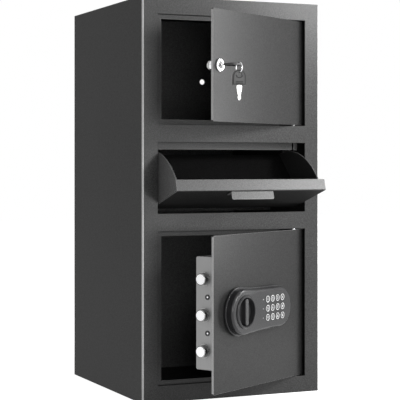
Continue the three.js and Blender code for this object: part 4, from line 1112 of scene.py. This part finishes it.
@dataclass
class KeyLock:
    """The upper door's cam lock, its key, the ring and the spare key."""

    bench: Bench
    frame: Frame
    head: HeadSize = field(default_factory=HeadSize)
    ring_sides: int = 72
    wire_sides: int = 20

    def build(self) -> None:
        """Dresses the lock and the keys."""
        self.bench.soften("upper_lock_barrel", Finish.CHROME, "upper_door", 0.25 * MM, steps=3)
        for node, finish, body in (
            ("upper_lock_nut", Finish.ZINC, "upper_door"),
            ("upper_lock_plug", Finish.PLUG_STEEL, "lock_plug"),
            ("upper_lock_cam", Finish.ZINC, "lock_plug"),
            ("upper_lock_cam_screw", Finish.ZINC, "lock_plug"),
            ("key_blade", Finish.KEY_STEEL, "key"),
            ("spare_key_blade", Finish.KEY_STEEL, "spare_key"),
        ):
            self.bench.soften(node, finish, body, 0.2 * MM)
        for body in ("key", "spare_key"):
            self.bench.soften(body + "_head", Finish.KEY_HEAD, body, 0.4 * MM, steps=3)
        self.ring()
        self.reliefs()

    def ring(self) -> None:
        """The split ring, finer than its solid."""
        low, high = self.frame.box("key_ring")
        centre = (low + high) / 2
        back = self.frame.place.inverted()
        arms = [(back @ v.co) - centre for v in bpy.data.objects["key_ring"].data.vertices]
        along = max(arms, key=lambda arm: math.hypot(arm.x, arm.y))
        turn = math.atan2(along.y, along.x)
        wire = max(abs(arm.y * math.cos(turn) - arm.x * math.sin(turn)) for arm in arms)
        radius = (high.z - low.z) / 2 - wire
        profile = [
            (radius + wire * math.cos(math.tau * i / self.wire_sides),
             wire * math.sin(math.tau * i / self.wire_sides))
            for i in range(self.wire_sides)
        ]
        profile.append(profile[0])
        place = self.frame.at(*centre, Matrix.Rotation(turn, 4, "Z") @ FACING_FRONT)
        mesh = turned_mesh("split_ring", profile, place, self.ring_sides)
        self.bench.hand_over("split_ring", mesh, Finish.CHROME, "key_ring", "key_ring")

    def reliefs(self) -> None:
        """Raised lines on both faces of each head, with a gap under the ring on the first key."""
        low, high = self.frame.box("key_head")
        middle = (low + high) / 2
        turn = Matrix.Rotation(math.pi, 4, "Z")
        self.relief("key", self.frame.at(middle.x, high.y, middle.z, turn), gap=2)
        source = bpy.data.objects["spare_key_head"].data
        low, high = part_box("spare_key_head")
        face = max(source.polygons, key=lambda f: f.area * (abs(f.normal.z) < FLAT)).normal
        across = Vector((0, 0, 1)).cross(face).normalized()
        centre = (low + high) / 2
        axes = Matrix((across, Vector((0, 0, 1)), face)).transposed().to_4x4()
        self.relief("spare_key", Matrix.Translation((centre.x, centre.y, low.z)) @ axes, gap=0)

    def relief(self, body: str, place: Matrix, gap: int) -> None:
        """The raised lines of one head.

        Args:
            body: the key's CAD body.
            place: the middle of the head's blade end, +Y to its round end and +Z out of a face.
            gap: steps of the round end left out to each side of its middle.
        """
        size = self.head
        bars = []
        for up in (1, -1):
            face = place @ Matrix.Translation((0, 0, up * size.thick / 2))
            for line in size.lines(gap):
                for (x0, y0), (x1, y1) in zip(line, line[1:]):
                    where = face @ Matrix.Translation(((x0 + x1) / 2, (y0 + y1) / 2, 0))
                    along = Matrix.Rotation(math.atan2(y1 - y0, x1 - x0), 4, "Z")
                    reach = math.hypot(x1 - x0, y1 - y0) + size.bead * 0.6
                    bar = (reach, size.bead, 2 * size.bead_height)
                    bars.append(raised_bar(bar, size.bead_chamfer, where @ along))
        name = body + "_head_relief"
        # The lines are darker and matt: painted shade along the head's outline.
        self.bench.hand_over(name, joined(name, bars), Finish.KEY_BEAD, body)


def dress_door(bench: Bench, body: str, pin: Finish) -> None:
    """A door's panel, whose free edge gets a painted highlight, and its hinge pin."""
    panel, rod = body + "_panel", body + "_hinge_rod"
    # The free edge's lighter coat is a painted highlight.
    bench.soften(panel, Finish.DOOR, body, 0.6 * MM, side=door_side, more=(Finish.RIM,))
    bench.soften(rod, pin, body, 0.3 * MM)


@dataclass
class UpperDoor:
    """The key-locked door."""

    bench: Bench
    frame: Frame

    def build(self) -> None:
        """Dresses the panel, its hinge pin and its lock."""
        # The pin is in darker steel than the lower door's chrome one: painted shade that takes away
        # its highlight.
        dress_door(self.bench, self.frame.body, Finish.BOLT_STEEL)
        KeyLock(self.bench, self.frame).build()


class Legend(Enum):
    """What each keypad button says, in its own order from the upper left."""

    KEY_01 = "1"
    KEY_02 = "2"
    KEY_03 = "3"
    KEY_04 = "4"
    KEY_05 = "5"
    KEY_06 = "6"
    KEY_07 = "7"
    KEY_08 = "8"
    KEY_09 = "9"
    KEY_10 = "0"
    KEY_11 = "A"
    KEY_12 = "B"

    @property
    def node(self) -> str:
        """The CAD node of the button."""
        return "pad_" + self.name.lower()


@dataclass
class Keypad:
    """The keypad unit in front of the lower door: knob, buttons, numbers and signal lamps."""

    bench: Bench
    fixings: Fixings
    frame: Frame
    ring_line: float = 0.75 * MM
    ring_inset: float = 0.15 * MM
    print_thickness: float = 0.3 * MM
    figure_height: float = 4.2 * MM
    figure_weight: float = 0.02 * MM
    lamp_diameter: float = 2.4 * MM
    lamp_gap: float = 13.8 * MM

    def build(self) -> None:
        """Dresses the unit."""
        body = self.frame.body
        for node, angle in (("keypad_base", 40), ("keypad_housing", 40), ("knob_ring", 22)):
            self.bench.soften(node, Finish.KEYPAD, body, angle=angle)
        self.bench.soften("knob", Finish.KNOB, "knob", angle=40)
        self.bench.soften("knob_spindle", Finish.ZINC, "knob", 0.2 * MM)
        self.bench.carry("circuit_board", Finish.BOARD)
        self.lamps()
        for legend in Legend:
            self.button(legend)

    def button(self, legend: Legend) -> None:
        """A button with its printed ring and number."""
        low, high = self.frame.box(legend.node)
        on_key = self.frame.on(legend.node)
        self.bench.soften(legend.node, Finish.BUTTON, legend.node, angle=30)
        cap = (high.x - low.x) / 2 - 1 * MM
        centre = Vector(((low.x + high.x) / 2, low.y, (low.z + high.z) / 2))
        sizes = {
            "Radius": cap - self.ring_inset - self.ring_line / 2,
            "Line": self.ring_line,
            "Thickness": self.print_thickness,
        }
        ring = self.fixings.rings.lay(
            "ring", [on_key.place @ centre], [on_key.place.to_3x3() @ Vector((0, -1, 0))],
            self.bench.paints(Finish.WHITE_INK), sizes,
        )
        figure = letters(
            legend.value, self.figure_height, self.print_thickness,
            on_key.at(*centre, FACING_FRONT), self.figure_weight,
        )
        name = "print_" + legend.node
        self.bench.hand_over(name, joined(name, [ring, figure]), Finish.WHITE_INK, legend.node)

    def lamps(self) -> None:
        """Three signal lamps in a column beside the buttons, one to a row."""
        face = self.frame.box("keypad_housing")[0].y
        places = []
        for legend in (Legend.KEY_01, Legend.KEY_05, Legend.KEY_09):
            low, high = self.frame.box(legend.node)
            x, z = (low.x + high.x) / 2 - self.lamp_gap, (low.z + high.z) / 2
            places.append(Vector((x, face, z)))
        self.fixings.put(
            self.fixings.rivets, "signal_lamps", self.frame, places, Vector((0, -1, 0)),
            Finish.LENS, diameter=self.lamp_diameter, height=0.6 * MM,
        )


BOLTS = ("bolt_upper", "bolt_middle", "bolt_lower")


@dataclass
class BoltWork:
    """The box on the back of the lower door with its bolts, bar and battery holder."""

    bench: Bench
    fixings: Fixings
    frame: Frame
    chamfer: float = 1.2 * MM
    tip_round: float = 0.5 * MM
    tip_bend: float = 0.3  # share of the rounding
    face_proud: float = 0.1 * MM
    face_sunk: float = 0.2 * MM
    least_tail: float = 4 * MM
    sides: int = 64
    sheet: float = 1 * MM
    side_screw: float = 9 * MM
    side_screw_depth: float = 23 * MM
    collar_radius: float = 10 * MM
    cover_inset: float = 11 * MM
    cover_clear: float = 80 * MM

    def build(self) -> None:
        """Dresses the bolt work."""
        body = self.frame.body
        # Its rounded edges take the lighter zinc: a painted highlight
        self.bench.soften("bolt_box", Finish.BOX, body, 0.5 * MM)
        for node in BOLTS:
            self.bolt(node)
        self.bench.soften("bolt_bar", Finish.ZINC, "bolt_carriage", 0.2 * MM)
        self.bench.carry("solenoid", Finish.ZINC)
        self.bench.soften("battery_holder", Finish.BATTERY, body, 0.3 * MM)
        self.bench.soften("battery_cover", Finish.BATTERY, body, 0.4 * MM)
        self.side()
        self.cover()

    def bolt(self, node: str) -> None:
        """A turned bolt with a soft chamfer and a brighter end, finer than its solid."""
        low, high = self.frame.box(node)
        centre = (low + high) / 2
        radius = (high.z - low.z) / 2
        length = high.x - low.x
        back = self.frame.place.inverted()
        spots = []
        for vertex in bpy.data.objects[node].data.vertices:
            spot = back @ vertex.co
            spots.append((spot.x - low.x, math.hypot(spot.y - centre.y, spot.z - centre.z)))
        shoulder = max(along for along, out in spots if out > radius * 0.9)
        tails = (out for along, out in spots if along > shoulder + 1 * MM)
        tail = max(min(tails), self.least_tail)
        cut, soft, bend = self.chamfer, self.tip_round, self.tip_bend
        flat = radius - cut - soft
        profile = [
            (0, 0), (flat, 0), (radius - cut, soft * bend), (radius - soft * bend, cut),
            (radius, cut + soft), (radius, shoulder), (tail, shoulder), (tail, length), (0, length),
        ]
        out, sunk = -self.face_proud, self.face_sunk
        face = [(0, out), (flat, out), (flat, sunk), (0, sunk)]
        place = self.frame.at(low.x, centre.y, centre.z, FACING_RIGHT)
        mesh = turned_mesh(node + "_turned", profile, place, self.sides)
        self.bench.hand_over(node + "_turned", mesh, Finish.BOLT_STEEL, "bolt_carriage", node)
        disc = turned_mesh(node + "_face", face, place, self.sides)
        self.bench.hand_over(node + "_face", disc, Finish.CHROME, "bolt_carriage")

    def side(self) -> None:
        """Two sunk screws in the box's side between the bolts, and a collar round each bolt."""
        side = self.frame.box("bolt_box")[0].x
        bolts = [sum(corner.z for corner in self.frame.box(node)) / 2 for node in BOLTS]
        depth = self.frame.box("lower_door_panel")[1].y + self.side_screw_depth
        seats = [Vector((side + self.sheet, depth, (a + b) / 2)) for a, b in zip(bolts, bolts[1:])]
        axis = self.frame.box("bolt_middle")[0].y + self.collar_radius
        collars = [Vector((side, axis, z)) for z in bolts]
        left = Vector((-1, 0, 0))
        screw, collar = self.side_screw, self.collar_radius + 1.1 * MM
        rings, rivets = self.fixings.rings, self.fixings.rivets
        self.fixings.put(
            rings, "side_screw_cups", self.frame, seats, left, Finish.BUTTON,
            radius=screw * 0.38, line=screw * 0.24, thickness=1.6 * MM,
        )
        self.fixings.put(
            rivets, "side_screws", self.frame, seats, left, Finish.CHROME,
            diameter=screw * 0.4, height=0.9 * MM,
        )
        self.fixings.put(
            rings, "bolt_collars", self.frame, collars, left, Finish.BOLT_STEEL,
            radius=collar, line=1.4 * MM, thickness=1.4 * MM,
        )

    def cover(self) -> None:
        """A screw near each corner of the box's back that the battery cover leaves free."""
        low, high = self.frame.box("bolt_box")
        battery = self.frame.box("battery_cover")[0]
        inset = self.cover_inset
        corners = [
            Vector((x, high.y, z))
            for x in (low.x + self.sheet + inset, high.x - inset)
            for z in (low.z + inset, high.z - inset)
        ]
        clear = [c for c in corners if c.x < battery.x or c.z > battery.z + self.cover_clear]
        self.fixings.put(
            self.fixings.screws, "cover_screws", self.frame, clear, Vector((0, 1, 0)), Finish.ZINC,
            diameter=7 * MM,
        )


@dataclass
class LowerDoor:
    """The keypad-locked door."""

    bench: Bench
    fixings: Fixings
    frame: Frame

    def build(self) -> None:
        """Dresses the panel, the hinge pin, the keypad and the bolt work."""
        dress_door(self.bench, self.frame.body, Finish.CHROME)
        Keypad(self.bench, self.fixings, self.frame).build()
        BoltWork(self.bench, self.fixings, self.frame).build()


# ---- Studio


@dataclass
class Softbox:
    """A soft studio lamp."""

    name: str
    place: tuple[float, float, float]
    aim: tuple[float, float, float]
    size: tuple[float, float]
    power: float

    def build(self) -> None:
        """Adds the lamp."""
        lamp = bpy.data.lights.new(self.name, "AREA")
        lamp.shape = "RECTANGLE"
        lamp.size, lamp.size_y = self.size
        lamp.energy = self.power
        made = new_object(self.name, lamp)
        made.location = self.place
        way = Vector(self.aim) - Vector(self.place)
        made.rotation_mode = "QUATERNION"
        made.rotation_quaternion = way.to_track_quat("-Z", "Y")


@dataclass
class Studio:
    """Camera, lamps, floor and background."""

    camera_place: tuple[float, float, float] = (-1.03352, -2.36084, 0.41248)
    camera_yaw: float = -23.967
    lens: float = 123.09
    sensor: float = 36.0
    shift: float = -0.0919
    ambient: float = 0.1
    background: float = 1.0
    floor_size: float = 14.0
    floor_glow: float = 0.965
    floor_drop: float = 0.5 * MM

    def camera(self) -> None:
        """The photograph's camera."""
        data = bpy.data.cameras.new("camera")
        data.sensor_width = self.sensor
        data.lens = self.lens
        data.shift_y = self.shift
        data.clip_start = 0.05
        data.clip_end = 60
        made = new_object("camera", data)
        made.location = self.camera_place
        made.rotation_euler = (math.radians(90), 0, math.radians(self.camera_yaw))
        bpy.context.scene.camera = made

    def world(self) -> None:
        """White behind the object and in its reflections, softer as a light."""
        world = bpy.data.worlds.new("studio")
        bpy.context.scene.world = world
        world.use_nodes = True
        graph = Graph(world.node_tree)
        world.node_tree.nodes.clear()
        path = graph.add("ShaderNodeLightPath").outputs
        camera, glossy, through = (
            Field(graph, path[f"Is {kind} Ray"]) for kind in ("Camera", "Glossy", "Transmission")
        )
        seen = (camera + glossy + through).at_most(1.0)
        strength = seen * (self.background - self.ambient) + self.ambient
        shine = graph.out("ShaderNodeBackground", {"Color": (1, 1, 1, 1), "Strength": strength})
        graph.add("ShaderNodeOutputWorld", None, {"Surface": shine})

    def floor(self) -> None:
        """A pale floor that shows white to the camera and in reflections, and keeps the shadow."""
        mesh = bpy.data.meshes.new("floor")
        half = self.floor_size / 2
        corners = [(-half, -half, 0), (half, -half, 0), (half, half, 0), (-half, half, 0)]
        mesh.from_pydata(corners, [], [(0, 1, 2, 3)])
        made = new_object("floor", mesh)
        made.location.z = -self.floor_drop
        recipe = Recipe("pale_floor")
        path = recipe.add("ShaderNodeLightPath").outputs
        seen = Field(recipe, path["Is Camera Ray"]) + Field(recipe, path["Is Glossy Ray"])
        matt = recipe.out("ShaderNodeBsdfDiffuse", {"Color": (0.9, 0.9, 0.9, 1)})
        light = {"Color": (1, 1, 1, 1), "Strength": seen * self.floor_glow}
        glow = recipe.out("ShaderNodeEmission", light)
        both = recipe.out("ShaderNodeAddShader", {0: matt, 1: glow})
        recipe.feed(recipe.output.inputs["Surface"], both)
        mesh.materials.append(recipe.material)

    def lamps(self) -> None:
        """Soft lamps in front and to the right, and a tall narrow one beside the open doors."""
        middle = (0.0, -0.1, 0.4)
        for lamp in (
            Softbox("key_lamp", (0.78, -1.25, 0.9), middle, (0.25, 0.25), 12.8),
            Softbox("side_strip", (0.9, -0.47, 0.58), middle, (0.15, 0.86), 6.6),
            Softbox("low_lamp", (0.5, -1.5, 0.33), middle, (0.4, 0.4), 4.0),
            Softbox("front_lamp", (0.3, -1.8, 0.9), middle, (0.6, 0.6), 4.7),
            Softbox("left_lamp", (-0.5, -1.6, 0.5), middle, (0.4, 0.6), 5.0),
        ):
            lamp.build()

    def build(self) -> None:
        """Sets up the studio."""
        self.world()
        self.floor()
        self.lamps()
        bpy.context.scene.view_settings.view_transform = "Standard"


def main() -> None:
    """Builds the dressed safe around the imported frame."""
    logging.basicConfig(level=logging.INFO, format="%(name)s: %(message)s")
    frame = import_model()
    studio = Studio()
    studio.camera()
    joints = {joint["name"]: joint for joint in frame["joints"]}
    bench = Bench(Paints())
    fixings = Fixings(bench)
    upper = Frame.of_joint("upper_door", joints["upper_door_hinge"])
    lower = Frame.of_joint("lower_door", joints["lower_door_hinge"])
    hopper = Frame.of_joint("hopper", joints["hopper_tilt"])
    Cabinet(bench, fixings).build()
    Hopper(bench, fixings, hopper).build()
    UpperDoor(bench, upper).build()
    LowerDoor(bench, fixings, lower).build()
    studio.build()


if __name__ == "__main__":
    main()
